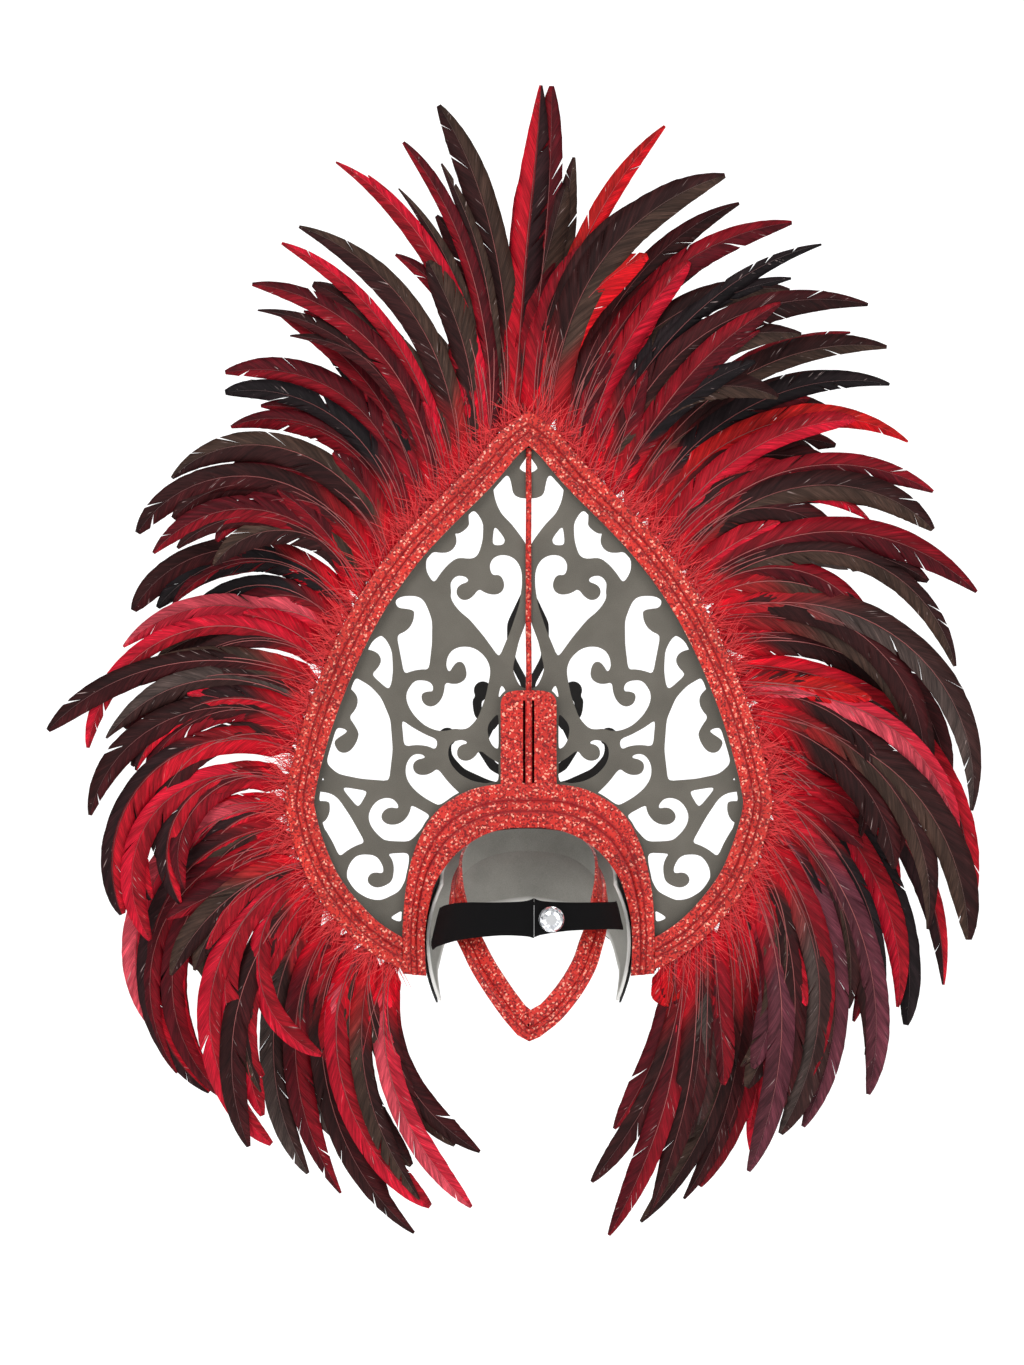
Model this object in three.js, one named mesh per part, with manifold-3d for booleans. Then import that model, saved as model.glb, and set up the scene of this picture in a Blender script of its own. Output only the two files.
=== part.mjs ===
// Feathered carnival headdress, worn with its panel standing ear to ear over the head.
// Millimetres. +X is the right of the picture seen from behind, +Y the way the wearer faces, +Z up.
// The origin is the middle of the head opening at the height of the elastic strap.
import * as THREE from 'three';
import { mergeVertices } from 'three/addons/utils/BufferGeometryUtils.js';
import Module from 'manifold-3d';

const wasm = await Module();
wasm.setup();

// Driving dimensions.
const GAP = 0.3; // glue line between neighbouring pieces
const PANEL_HALF_WIDTH = 217;
const PANEL_HEIGHT = 507;
const PANEL_FOOT = -50; // height of the panel's foot
const PANEL_THICKNESS = 3;
const PANEL_SETBACK = 2; // the panel's edge stays this far inside the band's edge
const PANEL_RIM_SHOW = 3; // panel rim that shows inside the glitter band
const BAND_WIDTH = 26;
const BAND_THICKNESS = 2;
const RIB_WIDTH = 4;
const RIB_HEIGHT = 2.4;
const CORE_THICKNESS = 8;
const CORE_SETBACK = 10; // from the band's outer edge, leaves the feather channel
const ARCH_OPENING_HALF_WIDTH = 93; // head opening at its widest
const ARCH_BAND_WIDTH = 20; // glitter strip beside the opening
const ARCH_HALF_WIDTH = ARCH_OPENING_HALF_WIDTH + ARCH_BAND_WIDTH;
const ARCH_RISE = 172;
const ARCH_CLEARANCE = 1.5; // panel opening behind the arch band's inner edge
const TAB_HALF_WIDTH = 25;
const TAB_TOP = 206;
const TAB_JOIN = 12; // the tab's foam runs this far down behind the arch band
const TAB_RIB_DROP = 9; // the tab's rib ends this far below its top
const PANEL_TAB_SHOW = 2; // panel edge that shows round the tab
const ROD_RADIUS = 2.6;
const ROD_SIDES = 8;
const LIP = 1; // foam edges stay this far behind the glitter strips' edges
const CUT_MARGIN = 1; // cutting tools run this far past a face
const BROW_CLEARANCE = 0.8; // between the wings and the head opening
const BROW_HALF_WIDTH = ARCH_OPENING_HALF_WIDTH - BROW_CLEARANCE;
const BROW_REACH = 88; // forehead band, front face ahead of the ears
const BROW_WALL = 3;
const COVER_WALL = 2;
const COVER_GAP = 1.6; // the cover lies loosely on the forehead band
const COVER_OVERHANG = 0.05; // cover below the forehead band, as a share of the wall's height
const PLAQUE_THICKNESS = 3;
const RING_WIDTH = 22;
const RING_WALL = 2.6;
const RING_RIB_AT = 0.28; // the ring's rib lies off the middle, as a share of the half width
const RING_SIDE_GAP = 23; // between the ring's side and the wing
const RING_HALF_WIDTH = BROW_HALF_WIDTH - BROW_WALL - RING_SIDE_GAP;
const RING_INSET = 5.9; // between the ring's front and the forehead band's mid-height inner face
const RING_HALF_DEPTH = BROW_REACH - BROW_WALL - RING_INSET;
const RING_TOP = 67; // height of the ring's front
const RING_FALL = 152; // from the ring's front down to its point at the nape
const STRAP_INSET = 0.35; // between the strap's end and the wing that it is sewn to
const STRAP_BRIDGE = 0.65; // the left half is wide and bridges the bend in the wing by this much
const STRAP_HALF_WIDTH = BROW_HALF_WIDTH - BROW_WALL - STRAP_INSET;
const STRAP_BACK = 106; // strap behind the origin
const STRAP_WALL = 1.8;
const STRAP_HEIGHT = 36;
const STRAP_END = 93; // heading of the sewn ends, in degrees from straight behind
const STRAP_JOIN = 2.6; // heading of the join
const BUTTON_RADIUS = 11.2;
const BUTTON_HEIGHT = 7;
const FEATHER_LENGTH = 300;
const FEATHER_WIDTH = 25;
const FEATHER_THICKNESS = 3;
const ROOT_INSET = 6; // feather roots behind the band's outer edge
const BINDING_CLEARANCE = 1.2; // between a straight-sided binding strip and the curved core
const LAYER_SPREAD = 15; // depth between two layers of feathers, away from their roots
const LAYER_STEP = 1.5; // the same inside the channel
const BLADE_SPREAD = 4; // depth between two blades of one fan, away from their roots
const SPREAD_START = 55; // distance from the root where the layers begin to part
const SPREAD_END = 150; // and where they are fully parted

// Depth of each layer of the panel assembly, from the wearer's front to the back.
const panelFront = PANEL_THICKNESS;
const coreFront = -GAP;
const coreBack = coreFront - CORE_THICKNESS;
const bandFront = coreBack - GAP;
const bandBack = bandFront - BAND_THICKNESS;
const channelMiddle = (coreFront + coreBack) / 2;

// Half of the spade outline, foot to apex: across as a share of the half width, up of the height.
const SPADE = [
  [0.426, 0], [0.57, 0.021], [0.735, 0.071], [0.899, 0.16], [0.996, 0.275], [0.993, 0.346],
  [0.899, 0.488], [0.735, 0.645], [0.529, 0.773], [0.241, 0.901], [0.117, 0.962], [0, 1],
];
// Half of the arch over the head, its outer and inner edge: across as a share of the half width of
// the arch and of its opening, up of the arch's rise.
const ARCH_OUTER = [
  [1, 0.012], [1, 0.223], [0.985, 0.392], [0.955, 0.531], [0.905, 0.653], [0.83, 0.77],
  [0.74, 0.851], [0.62, 0.915], [0.44, 0.974], [0.212, 1], [0, 1],
];
const ARCH_INNER = [
  [0.985, 0], [1, 0.177], [0.973, 0.33], [0.906, 0.468], [0.808, 0.566], [0.688, 0.642],
  [0.528, 0.706], [0.355, 0.75], [0.182, 0.77], [0, 0.773],
];

// Two-dimensional work: points are Vector2 with x across and y up.

function splineThrough(table, acrossSize, upSize, foot) {
  const points = table.map(([across, up]) => new THREE.Vector2(across * acrossSize, foot + up * upSize));
  return new THREE.SplineCurve(points);
}

// A closed left-right symmetric line from the left foot over the top to the right foot.
function overTop(halfCurve, count) {
  const half = halfCurve.getSpacedPoints(count);
  const left = half.map((p) => new THREE.Vector2(-p.x, p.y));
  return left.concat(half.slice(0, -1).reverse());
}

// Moves an open line sideways; positive distances go to its right-hand side.
function offsetLine(line, distance) {
  return line.map((point, i) => {
    const before = line[Math.max(i - 1, 0)];
    const after = line[Math.min(i + 1, line.length - 1)];
    const a = point.clone().sub(before).normalize();
    const b = after.clone().sub(point).normalize();
    if (i === 0) a.copy(b);
    if (i === line.length - 1) b.copy(a);
    const along = a.clone().add(b).normalize();
    const miter = 1 / Math.max(along.dot(a), 0.5);
    return new THREE.Vector2(point.x + along.y * distance * miter, point.y - along.x * distance * miter);
  });
}

// Three-dimensional work.

// A flat plate of the given outline between two depths.
function plate(outline, front, back) {
  const options = { depth: front - back, bevelEnabled: false };
  const geometry = new THREE.ExtrudeGeometry(new THREE.Shape(outline), options);
  geometry.rotateX(Math.PI / 2);
  geometry.translate(0, front, 0);
  return geometry;
}

// Triangles across a flat ring of any outline, in the ring's own order.
function flatCap(ring) {
  const normal = new THREE.Vector3();
  ring.forEach((p, i) => normal.add(p.clone().cross(ring[(i + 1) % ring.length])));
  const u = ring[1].clone().sub(ring[0]).normalize();
  const v = normal.normalize().cross(u);
  const flat = ring.map((p) => new THREE.Vector2(p.dot(u), p.dot(v)));
  return THREE.ShapeUtils.triangulateShape(flat, []);
}

// Joins rings of equal length into one closed skin, with flat ends unless it runs round on itself.
function loft(rings, closed = false) {
  const positions = [];
  const index = [];
  const size = rings[0].length;
  rings.forEach((ring) => ring.forEach((p) => positions.push(p.x, p.y, p.z)));
  const steps = closed ? rings.length : rings.length - 1;
  for (let i = 0; i < steps; i += 1) {
    const next = (i + 1) % rings.length;
    for (let j = 0; j < size; j += 1) {
      const k = (j + 1) % size;
      const [a, b, c, d] = [i * size + j, i * size + k, next * size + k, next * size + j];
      index.push(a, b, c, a, c, d);
    }
  }
  if (!closed) {
    const last = (rings.length - 1) * size;
    flatCap(rings[0]).forEach(([a, b, c]) => index.push(a, c, b));
    flatCap(rings.at(-1)).forEach(([a, b, c]) => index.push(last + a, last + b, last + c));
  }
  const geometry = new THREE.BufferGeometry();
  geometry.setAttribute('position', new THREE.Float32BufferAttribute(positions, 3));
  geometry.setIndex(index);
  return faceOutwards(geometry);
}

// Turns the skin right side out if its volume comes out negative.
function faceOutwards(geometry) {
  const p = geometry.attributes.position;
  const index = geometry.index.array;
  const [a, b, c] = [new THREE.Vector3(), new THREE.Vector3(), new THREE.Vector3()];
  let volume = 0;
  for (let i = 0; i < index.length; i += 3) {
    a.fromBufferAttribute(p, index[i]);
    b.fromBufferAttribute(p, index[i + 1]);
    c.fromBufferAttribute(p, index[i + 2]);
    volume += a.dot(b.cross(c));
  }
  if (volume < 0) {
    const flipped = Array.from(index);
    for (let i = 0; i < flipped.length; i += 3) {
      [flipped[i + 1], flipped[i + 2]] = [flipped[i + 2], flipped[i + 1]];
    }
    geometry.setIndex(flipped);
  }
  return geometry;
}

// A closed geometry as a solid for joining and cutting.
function solid(geometry) {
  const bare = geometry.clone();
  bare.deleteAttribute('normal');
  bare.deleteAttribute('uv');
  const merged = mergeVertices(bare, 1e-4);
  return new wasm.Manifold(new wasm.Mesh({
    numProp: 3,
    vertProperties: new Float32Array(merged.attributes.position.array),
    triVerts: new Uint32Array(merged.index.array),
  }));
}

function toGeometry(body) {
  const mesh = body.getMesh();
  const geometry = new THREE.BufferGeometry();
  geometry.setAttribute('position', new THREE.Float32BufferAttribute(mesh.vertProperties, 3));
  geometry.setIndex(Array.from(mesh.triVerts));
  geometry.computeVertexNormals();
  return geometry;
}

function joined(geometries) {
  return geometries.map(solid).reduce((whole, piece) => whole.add(piece));
}

// A plate that cuts right through everything between two depths.
function cutter(outline, front, back) {
  return solid(plate(outline, front + CUT_MARGIN, back - CUT_MARGIN));
}

// Shared outlines.

const SPADE_STEPS = 24;
const ARCH_STEPS = 14;
const spadeHalf = splineThrough(SPADE, PANEL_HALF_WIDTH, PANEL_HEIGHT, PANEL_FOOT);
const spade = overTop(spadeHalf, SPADE_STEPS);
const archOuter = overTop(splineThrough(ARCH_OUTER, ARCH_HALF_WIDTH, ARCH_RISE, PANEL_FOOT), ARCH_STEPS);
const archInnerHalf = splineThrough(ARCH_INNER, ARCH_OPENING_HALF_WIDTH, ARCH_RISE, PANEL_FOOT);
const archInner = overTop(archInnerHalf, ARCH_STEPS);
const archTop = Math.max(...archOuter.map((p) => p.y));

// The spade's outline moved inwards; its two sides meet again in an apex on the centre line.
function insetSpade(distance) {
  const side = offsetLine(spade.slice(0, SPADE_STEPS + 1), distance);
  const meet = side.findIndex((p) => p.x >= 0);
  const before = side[meet - 1];
  const apex = before.clone().lerp(side[meet], before.x / (before.x - side[meet].x));
  const rest = SPADE_STEPS + 1 - meet;
  const left = side.map((p, i) => (i < meet ? p : before.clone().lerp(apex, (i + 1 - meet) / rest)));
  return left.concat(left.slice(0, -1).reverse().map((p) => new THREE.Vector2(-p.x, p.y)));
}

// A line over the top carried straight down past the panel's foot, as a cutting outline.
function carriedDown(line, depth = 40) {
  const first = line[0];
  const last = line[line.length - 1];
  return [new THREE.Vector2(first.x, first.y - depth), ...line, new THREE.Vector2(last.x, last.y - depth)];
}

// A glitter strip between two lines, with a cord rib pressed up along its middle.
function ribbedBand(outerLine, innerLine) {
  const ribShare = RIB_WIDTH / BAND_WIDTH;
  const section = [
    [0, bandFront], [0, bandBack], [0.5 - ribShare / 2, bandBack], [0.5, bandBack - RIB_HEIGHT],
    [0.5 + ribShare / 2, bandBack], [1, bandBack], [1, bandFront],
  ];
  const rings = outerLine.map((outer, i) => section.map(([share, depth]) => {
    const p = outer.clone().lerp(innerLine[i], share);
    return new THREE.Vector3(p.x, depth, p.y);
  }));
  return loft(rings);
}

function makeRimBand() {
  const strip = solid(ribbedBand(spade, insetSpade(BAND_WIDTH)));
  return strip.subtract(cutter(carriedDown(offsetLine(archOuter, -GAP)), bandFront, bandBack - RIB_HEIGHT));
}

function makeArchBand() {
  return solid(ribbedBand(archOuter, archInner));
}

// The foam spacer under the rim band; its outer edge is the floor of the feather channel.
function makeRimCore() {
  const ring = solid(plate(insetSpade(CORE_SETBACK), coreFront, coreBack));
  const inside = cutter(carriedDown(insetSpade(BAND_WIDTH - LIP)), coreFront, coreBack);
  const arch = cutter(carriedDown(offsetLine(archOuter, -GAP)), coreFront, coreBack);
  return ring.subtract(inside).subtract(arch);
}

// A round-topped tab; the shoulder's height and the top's flatness are shares of its half width.
const TAB_SHOULDER = 0.55;
const TAB_FLAT = 0.6;
const TAB_STEPS = 5;

function tabOutline(halfWidth, foot, top) {
  const shape = new THREE.Shape();
  const shoulder = top - halfWidth * TAB_SHOULDER;
  const flat = halfWidth * TAB_FLAT;
  shape.moveTo(-halfWidth, foot);
  shape.lineTo(halfWidth, foot);
  shape.lineTo(halfWidth, shoulder);
  shape.bezierCurveTo(halfWidth, top, flat, top, 0, top);
  shape.bezierCurveTo(-flat, top, -halfWidth, top, -halfWidth, shoulder);
  return shape.getPoints(TAB_STEPS);
}

// The spacer under the arch band and the tab.
function makeArchCore() {
  const arch = solid(plate(offsetLine(archOuter, LIP), coreFront, coreBack));
  const tab = tabOutline(TAB_HALF_WIDTH - LIP, archTop - TAB_JOIN, TAB_TOP - LIP);
  const opening = cutter(carriedDown(offsetLine(archInner, -LIP)), coreFront, coreBack);
  return arch.add(solid(plate(tab, coreFront, coreBack))).subtract(opening);
}

function makeCentreTab() {
  const low = archTop + GAP;
  const high = TAB_TOP - TAB_RIB_DROP;
  const face = plate(tabOutline(TAB_HALF_WIDTH, low, TAB_TOP), bandFront, bandBack);
  const half = RIB_WIDTH / 2;
  const across = [[-half, bandFront], [-half, bandBack], [0, bandBack - RIB_HEIGHT], [half, bandBack],
    [half, bandFront]];
  const rib = loft([low, high].map((z) => across.map(([x, y]) => new THREE.Vector3(x, y, z))));
  return joined([face, rib]);
}

function makeCentreRod() {
  const innerApex = insetSpade(BAND_WIDTH - LIP)[SPADE_STEPS].y;
  const foot = TAB_TOP - LIP + GAP;
  const length = innerApex - ROD_RADIUS - foot;
  const geometry = new THREE.CylinderGeometry(ROD_RADIUS, ROD_RADIUS, length, ROD_SIDES);
  geometry.rotateX(Math.PI / 2);
  geometry.translate(0, coreFront - ROD_RADIUS, foot + length / 2);
  return solid(geometry);
}

// The pierced scrollwork, cut out of one sheet. The drawing lies on square modules: across from the
// centre line, up from the panel's foot.
const MODULES_ACROSS = 24.2;
const MODULES_UP = 56.3;
const moduleAcross = PANEL_HALF_WIDTH / MODULES_ACROSS;
const moduleUp = PANEL_HEIGHT / MODULES_UP;
const moduleWide = Math.max(moduleAcross, moduleUp);

// Openings of the left half. Each is a row of stretches that meet in corners; a stretch lists its
// first corner and the points that its curve passes, as across and up in modules.
const OPENINGS = [
  // over the apex curl
  [[[-0.2, 52.2]], [[0.95, 50.7], [0.6, 50.3]], [[-0.2, 50.1]]],
  // under the apex curl
  [[[-0.2, 47.75], [0.5, 47.6], [1.55, 48], [1.8, 49.6]], [[2.2, 49.9], [3.3, 49.2], [3.5, 48.2],
    [2.9, 46.3], [1.3, 44.6]], [[-0.2, 42.3]]],
  // along the upper rim
  [[[5.9, 46.5], [5.3, 46.3], [4.5, 44.9], [4.9, 42.2], [5.9, 41.5], [7, 41.75], [8.4, 40.7]], [[9.5, 39.1],
    [10.5, 40.9]], [[9.6, 42.3], [8.1, 42.15], [7.2, 43.1]], [[7.4, 44.15], [6.9, 44.1], [5.95, 44.9],
    [6.05, 45.6]]],
  // triangle under it
  [[[3.45, 44.9], [2.5, 43.8]], [[2.4, 43.3], [2.7, 42.9]], [[3.65, 43]]],
  // heart beside the stem
  [[[2.95, 31.7], [5.4, 35], [7, 36.4], [7.8, 37.6], [7.75, 38.4], [7.85, 39.2], [7.1, 39.95]],
    [[6.1, 39.65]], [[6.05, 39.25], [7.2, 38.8], [7.1, 37.7], [6, 37.4]], [[5, 38.6], [4.1, 38.05],
    [2.9, 38.05], [2.35, 39]], [[2.9, 40]], [[3.6, 39.9], [3.95, 40.9], [3.3, 41.85], [1.9, 41.9],
    [0.85, 40.9], [0.65, 39], [1.2, 36]]],
  // shoulder by the rim
  [[[13.4, 37.2], [12.9, 37.8], [11, 37.8], [10.2, 36.8], [9.6, 34.7]], [[10, 30.5], [11.2, 30.5]],
    [[12.5, 30.05]], [[13.25, 33.95], [11.9, 34.6], [11.45, 36.1], [11.8, 36.5]], [[13.1, 36.65]]],
  // loop under the shoulder
  [[[16.2, 33]], [[14.9, 33.9], [14.4, 33.6], [13.7, 32.3], [13.65, 29.5]], [[14.1, 28.5]], [[15.8, 30],
    [14.8, 31.1], [15.1, 32.15]], [[16.1, 32.5]]],
  // triangle beside the heart
  [[[8.6, 36]], [[6.1, 34]], [[8.6, 33.2]]],
  // double scroll
  [[[7.9, 30.25], [8.3, 30.8], [8, 32.1], [6.9, 32.8], [5.3, 32.6], [4.1, 31.4], [3.85, 29.9], [4.8, 26.2],
    [6.2, 24.5], [7.3, 24.65], [8.6, 24.3], [10.3, 24.8], [11.8, 26.3], [12.35, 27.9], [11.7, 29.1],
    [11, 29.45], [9.7, 29.2]], [[9.6, 28.3], [10.3, 28.3]], [[10.75, 28], [10.6, 27.1], [9.6, 26.75],
    [8.6, 27.7]], [[8.4, 29.25], [7.2, 29], [6.2, 29.7], [6.4, 31]], [[6.9, 31.3], [7.4, 31.1]]],
  // teardrop at the stem
  [[[-0.2, 36.4], [1.6, 31.2], [0.85, 28.8]], [[-0.2, 28.4]]],
  // small triangle over the tab
  [[[2.75, 29.05]], [[2.05, 28.05]], [[3.05, 27.75]]],
  // beside the tab
  [[[3.3, 22.6]], [[2.4, 22.6]], [[2.4, 26], [3, 26.15], [4.15, 24.9], [3.9, 23.3]]],
  // round the tab's foot
  [[[6.1, 23.1], [6.6, 23.5], [7.9, 23.1], [8.05, 21.5], [6.9, 20], [5, 19.15]], [[2.4, 19]], [[2.4, 21],
    [3.5, 21.4]], [[4.9, 22.5], [5.8, 21.35], [7.1, 21.6], [7.1, 22.8]]],
  // triangle under the scroll
  [[[12.75, 25.5], [11, 24.3]], [[9.1, 23.5]], [[9.3, 22.45], [10.6, 23]], [[12.5, 22.8]]],
  // curl over the arch
  [[[10.4, 21.65], [10.6, 22], [11.6, 22], [12.35, 20.9], [12.15, 19.3], [10.8, 17.9], [9, 16.9]],
    [[7.6, 16.6]], [[6.5, 18], [7.5, 18.6]], [[9.15, 20.65], [10.1, 19.95], [11.4, 20.1], [11.6, 21.3]]],
  // large heart by the rim
  [[[17.9, 29.85], [16.4, 29.2], [14.8, 27.7], [13.6, 24.2]], [[14, 19.35], [18.4, 19.8], [20.1, 20.9],
    [20.65, 22.5], [20.5, 23.5], [19.7, 24.6], [18.5, 24.6]], [[18.2, 24.25]], [[19.55, 23.4],
    [19.1, 22.25], [17.9, 22.3], [17.1, 23.7], [17.2, 24.5]], [[18.05, 25.75], [17.2, 26.8], [17.3, 28.1]],
    [[18.4, 28.8]]],
  // triangle over the lower scrolls
  [[[18.5, 18.75]], [[16.1, 18.35]], [[17.1, 16.65]], [[18.6, 18.45]]],
  // sliver at the rim
  [[[21.2, 20.6]], [[20.5, 19.45]], [[21.6, 19.35]]],
  // long opening at the rim
  [[[16.4, 13.2], [17.8, 12.7]], [[19, 11.75], [20, 13.9]], [[20.95, 15.05], [20.1, 15.7], [19.95, 17],
    [20.3, 17.35]], [[21.6, 17.3], [21.3, 18.2], [19.9, 18.15], [18.6, 17]]],
  // scroll beside the arch
  [[[13.2, 16.6], [13.05, 16.9], [13.7, 17.65], [15.1, 17.5], [16.05, 16.2], [15.9, 14.9], [14.8, 13.65],
    [14, 13.35]], [[11.9, 13.3]], [[9.6, 15.8]], [[11.8, 17], [12, 16], [12.9, 15.1], [14.2, 15],
    [14.85, 15.8], [14.2, 16.7]]],
  // scroll at the arch's foot
  [[[14.7, 10.1], [14.55, 10.7], [15.3, 11.9], [16.8, 12], [17.6, 11.6], [18.3, 10.3], [17.9, 8.9],
    [16.5, 7.8], [14.8, 7.4], [12.3, 9]], [[12, 12.2]], [[14.15, 12.1], [13.55, 11.2], [13.6, 9.8],
    [14, 9.1], [15.3, 8.65], [16.2, 9.3], [15.8, 10.2]]],
  // triangle at the foot
  [[[14, 5.65]], [[12.3, 6.7]], [[12.3, 5]]],
];
const CURVE_STEPS = 1.5; // straight pieces for each span between two points of a curve
const BAR_TURN = 26; // degrees a bar turns per straight piece
const BAR_MOST_STEPS = 4;
const BALL_STEPS = 4;

function onGrid(across, up, side) {
  return new THREE.Vector2(side * across * moduleAcross, PANEL_FOOT + up * moduleUp);
}

// A bar of one width along a bow through its middle point.
function barOutline(row, side) {
  const [x0, z0, x1, z1, x2, z2, width] = row;
  const start = onGrid(x0, z0, side);
  const end = onGrid(x2, z2, side);
  const handle = onGrid(x1, z1, side).multiplyScalar(2).sub(start.clone().add(end).multiplyScalar(0.5));
  const turn = Math.abs(handle.clone().sub(start).cross(end.clone().sub(handle)));
  const swing = Math.asin(Math.min(1, turn / handle.distanceTo(start) / end.distanceTo(handle)));
  const steps = Math.min(BAR_MOST_STEPS, Math.ceil(THREE.MathUtils.radToDeg(swing) / BAR_TURN));
  const line = new THREE.QuadraticBezierCurve(start, handle, end).getPoints(Math.max(1, steps));
  const reach = (width * moduleWide) / 2;
  return offsetLine(line, reach).concat(offsetLine(line, -reach).reverse());
}

function ballOutline([across, up, radius], side) {
  const shape = new THREE.Shape();
  const centre = onGrid(across, up, side);
  shape.absarc(centre.x, centre.y, radius * moduleWide, 0, Math.PI * 2);
  return shape.getPoints(BALL_STEPS).slice(0, -1);
}

// One opening: straight to the next corner where a stretch has one point, else a curve through all.
function openingOutline(stretches, side) {
  return stretches.flatMap((stretch, i) => {
    const nextCorner = stretches[(i + 1) % stretches.length][0];
    const line = [...stretch, nextCorner].map(([across, up]) => onGrid(across, up, side));
    const steps = stretch.length > 1 ? Math.ceil(stretch.length * CURVE_STEPS) : 1;
    return new THREE.SplineCurve(line).getPoints(steps).slice(0, -1);
  });
}

function makePanel() {
  const outer = insetSpade(PANEL_SETBACK);
  const rimInside = insetSpade(BAND_WIDTH + PANEL_RIM_SHOW);
  const whole = solid(plate(outer, panelFront, 0));
  const rim = whole.subtract(cutter(rimInside, panelFront, 0));
  const arch = solid(plate(offsetLine(archOuter, -PANEL_SETBACK), panelFront, 0));
  const tab = tabOutline(TAB_HALF_WIDTH + PANEL_TAB_SHOW, archTop - TAB_JOIN, TAB_TOP + PANEL_TAB_SHOW);
  let sheet = whole;
  for (const side of [-1, 1]) {
    for (const stretches of OPENINGS) {
      sheet = sheet.subtract(cutter(openingOutline(stretches, side), panelFront, 0));
    }
  }
  const opening = cutter(carriedDown(offsetLine(archInner, -ARCH_CLEARANCE)), panelFront, 0);
  return sheet.add(rim).add(arch).add(solid(plate(tab, panelFront, 0))).subtract(opening);
}

// The forehead band: a tall foam wall round the front of the head, from wing to wing. Round is the
// heading in degrees from straight ahead; heights are shares of the half width, reaches of the plan.
const BROW = [
  { round: 0, top: 0.8, middle: 0.46, bottom: 0.1, reachTop: 0.95, reachBottom: 1 },
  { round: 28, top: 0.78, middle: 0.42, bottom: 0.04, reachTop: 0.94, reachBottom: 1 },
  { round: 55, top: 0.66, middle: 0.22, bottom: -0.22, reachTop: 0.92, reachBottom: 0.99 },
  { round: 75, top: 0.48, middle: 0.02, bottom: -0.52, reachTop: 0.88, reachBottom: 0.95 },
  { round: 90, top: 0.34, middle: -0.15, bottom: -0.8, reachTop: 0.86, reachBottom: 0.88 },
];
const BROW_END = BROW.at(-1).round;
const BROW_STEPS = 10;
const BROW_ROWS = 2;

function browRow(round) {
  const last = BROW.length - 1;
  let i = 0;
  while (i < last - 1 && BROW[i + 1].round < round) i += 1;
  const share = (round - BROW[i].round) / (BROW[i + 1].round - BROW[i].round);
  const eased = (THREE.MathUtils.smoothstep(share, 0, 1) + share) / 2;
  const row = {};
  for (const key of Object.keys(BROW[i])) {
    row[key] = THREE.MathUtils.lerp(BROW[i][key], BROW[i + 1][key], eased);
  }
  return row;
}

// One point of the wall: turn is the heading, up a share of its height, depth inwards in mm.
function browPoint(turn, up, depth) {
  const row = browRow(Math.abs(turn));
  const z = THREE.MathUtils.lerp(row.bottom, row.top, up) * BROW_HALF_WIDTH;
  const towardsEdge = up > 0.5 ? row.reachTop : row.reachBottom;
  const reach = 1 - (1 - towardsEdge) * Math.abs(2 * up - 1) ** 2;
  const heading = THREE.MathUtils.degToRad(turn);
  const x = Math.sin(heading) * (BROW_HALF_WIDTH * reach - depth);
  const y = Math.cos(heading) * (BROW_REACH * reach - depth);
  return new THREE.Vector3(x, y, z);
}

// A wall through the given rows (shares of the height) and turns.
function browWall(outside, wall, rows, turns) {
  const rings = turns.map((turn) => [
    ...rows.map((up) => browPoint(turn, up, outside)),
    ...rows.toReversed().map((up) => browPoint(turn, up, outside + wall)),
  ]);
  return loft(rings);
}

const browRows = Array.from({ length: BROW_ROWS + 1 }, (_, i) => i / BROW_ROWS);
const browTurns = Array.from({ length: 2 * BROW_STEPS + 1 }, (_, i) => (i / BROW_STEPS - 1) * BROW_END);

function makeForeheadBand() {
  return solid(browWall(0, BROW_WALL, browRows, browTurns));
}

// The thin dark cover outside the forehead band, standing clear of the panel's front.
function makeForeheadCover() {
  const clear = THREE.MathUtils.radToDeg(Math.asin((panelFront + 3 * GAP) / BROW_REACH));
  const lastTurn = BROW_END - clear;
  const turns = [-lastTurn, ...browTurns.slice(1, -1), lastTurn];
  return solid(browWall(-COVER_GAP - COVER_WALL, COVER_WALL, [-COVER_OVERHANG, ...browRows], turns));
}

// The small scroll plaque standing on the forehead, seen through the panel. Same modules.
const PLAQUE_BARS = [
  [0, 39, 2, 33.5, 0, 28.5, 0.8],
  [0, 28.6, 2.2, 27, 3.9, 24.6, 1],
  [3.9, 24.8, 4.6, 21.5, 0, 18.6, 0.9],
  [3.9, 24.6, 5.4, 26.6, 4.4, 28.4, 0.9],
  [8.6, 23.4, 7, 19.8, 0, 17.6, 1.1],
  [0, 18.8, 2.2, 15, 0, 11, 1.6],
];
const PLAQUE_BALLS = [[4.7, 28.4, 1], [8.4, 23.6, 1]];
const PLAQUE_FOOT = { across: 5.2, low: 10.4, high: 14.6 };

function makePlaque() {
  const back = BROW_REACH + COVER_GAP + COVER_WALL + GAP;
  const front = back + PLAQUE_THICKNESS;
  const { across, low, high } = PLAQUE_FOOT;
  const corners = [[-across, low], [across, low], [across, high], [-across, high]];
  const foot = corners.map(([x, z]) => onGrid(x, z, 1));
  let body = solid(plate(foot, front, back));
  for (const side of [-1, 1]) {
    for (const row of PLAQUE_BARS) {
      body = body.add(solid(plate(barOutline(row, side), front, back)));
    }
    for (const row of PLAQUE_BALLS) {
      body = body.add(solid(plate(ballOutline(row, side), front, back)));
    }
  }
  return body;
}

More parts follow.
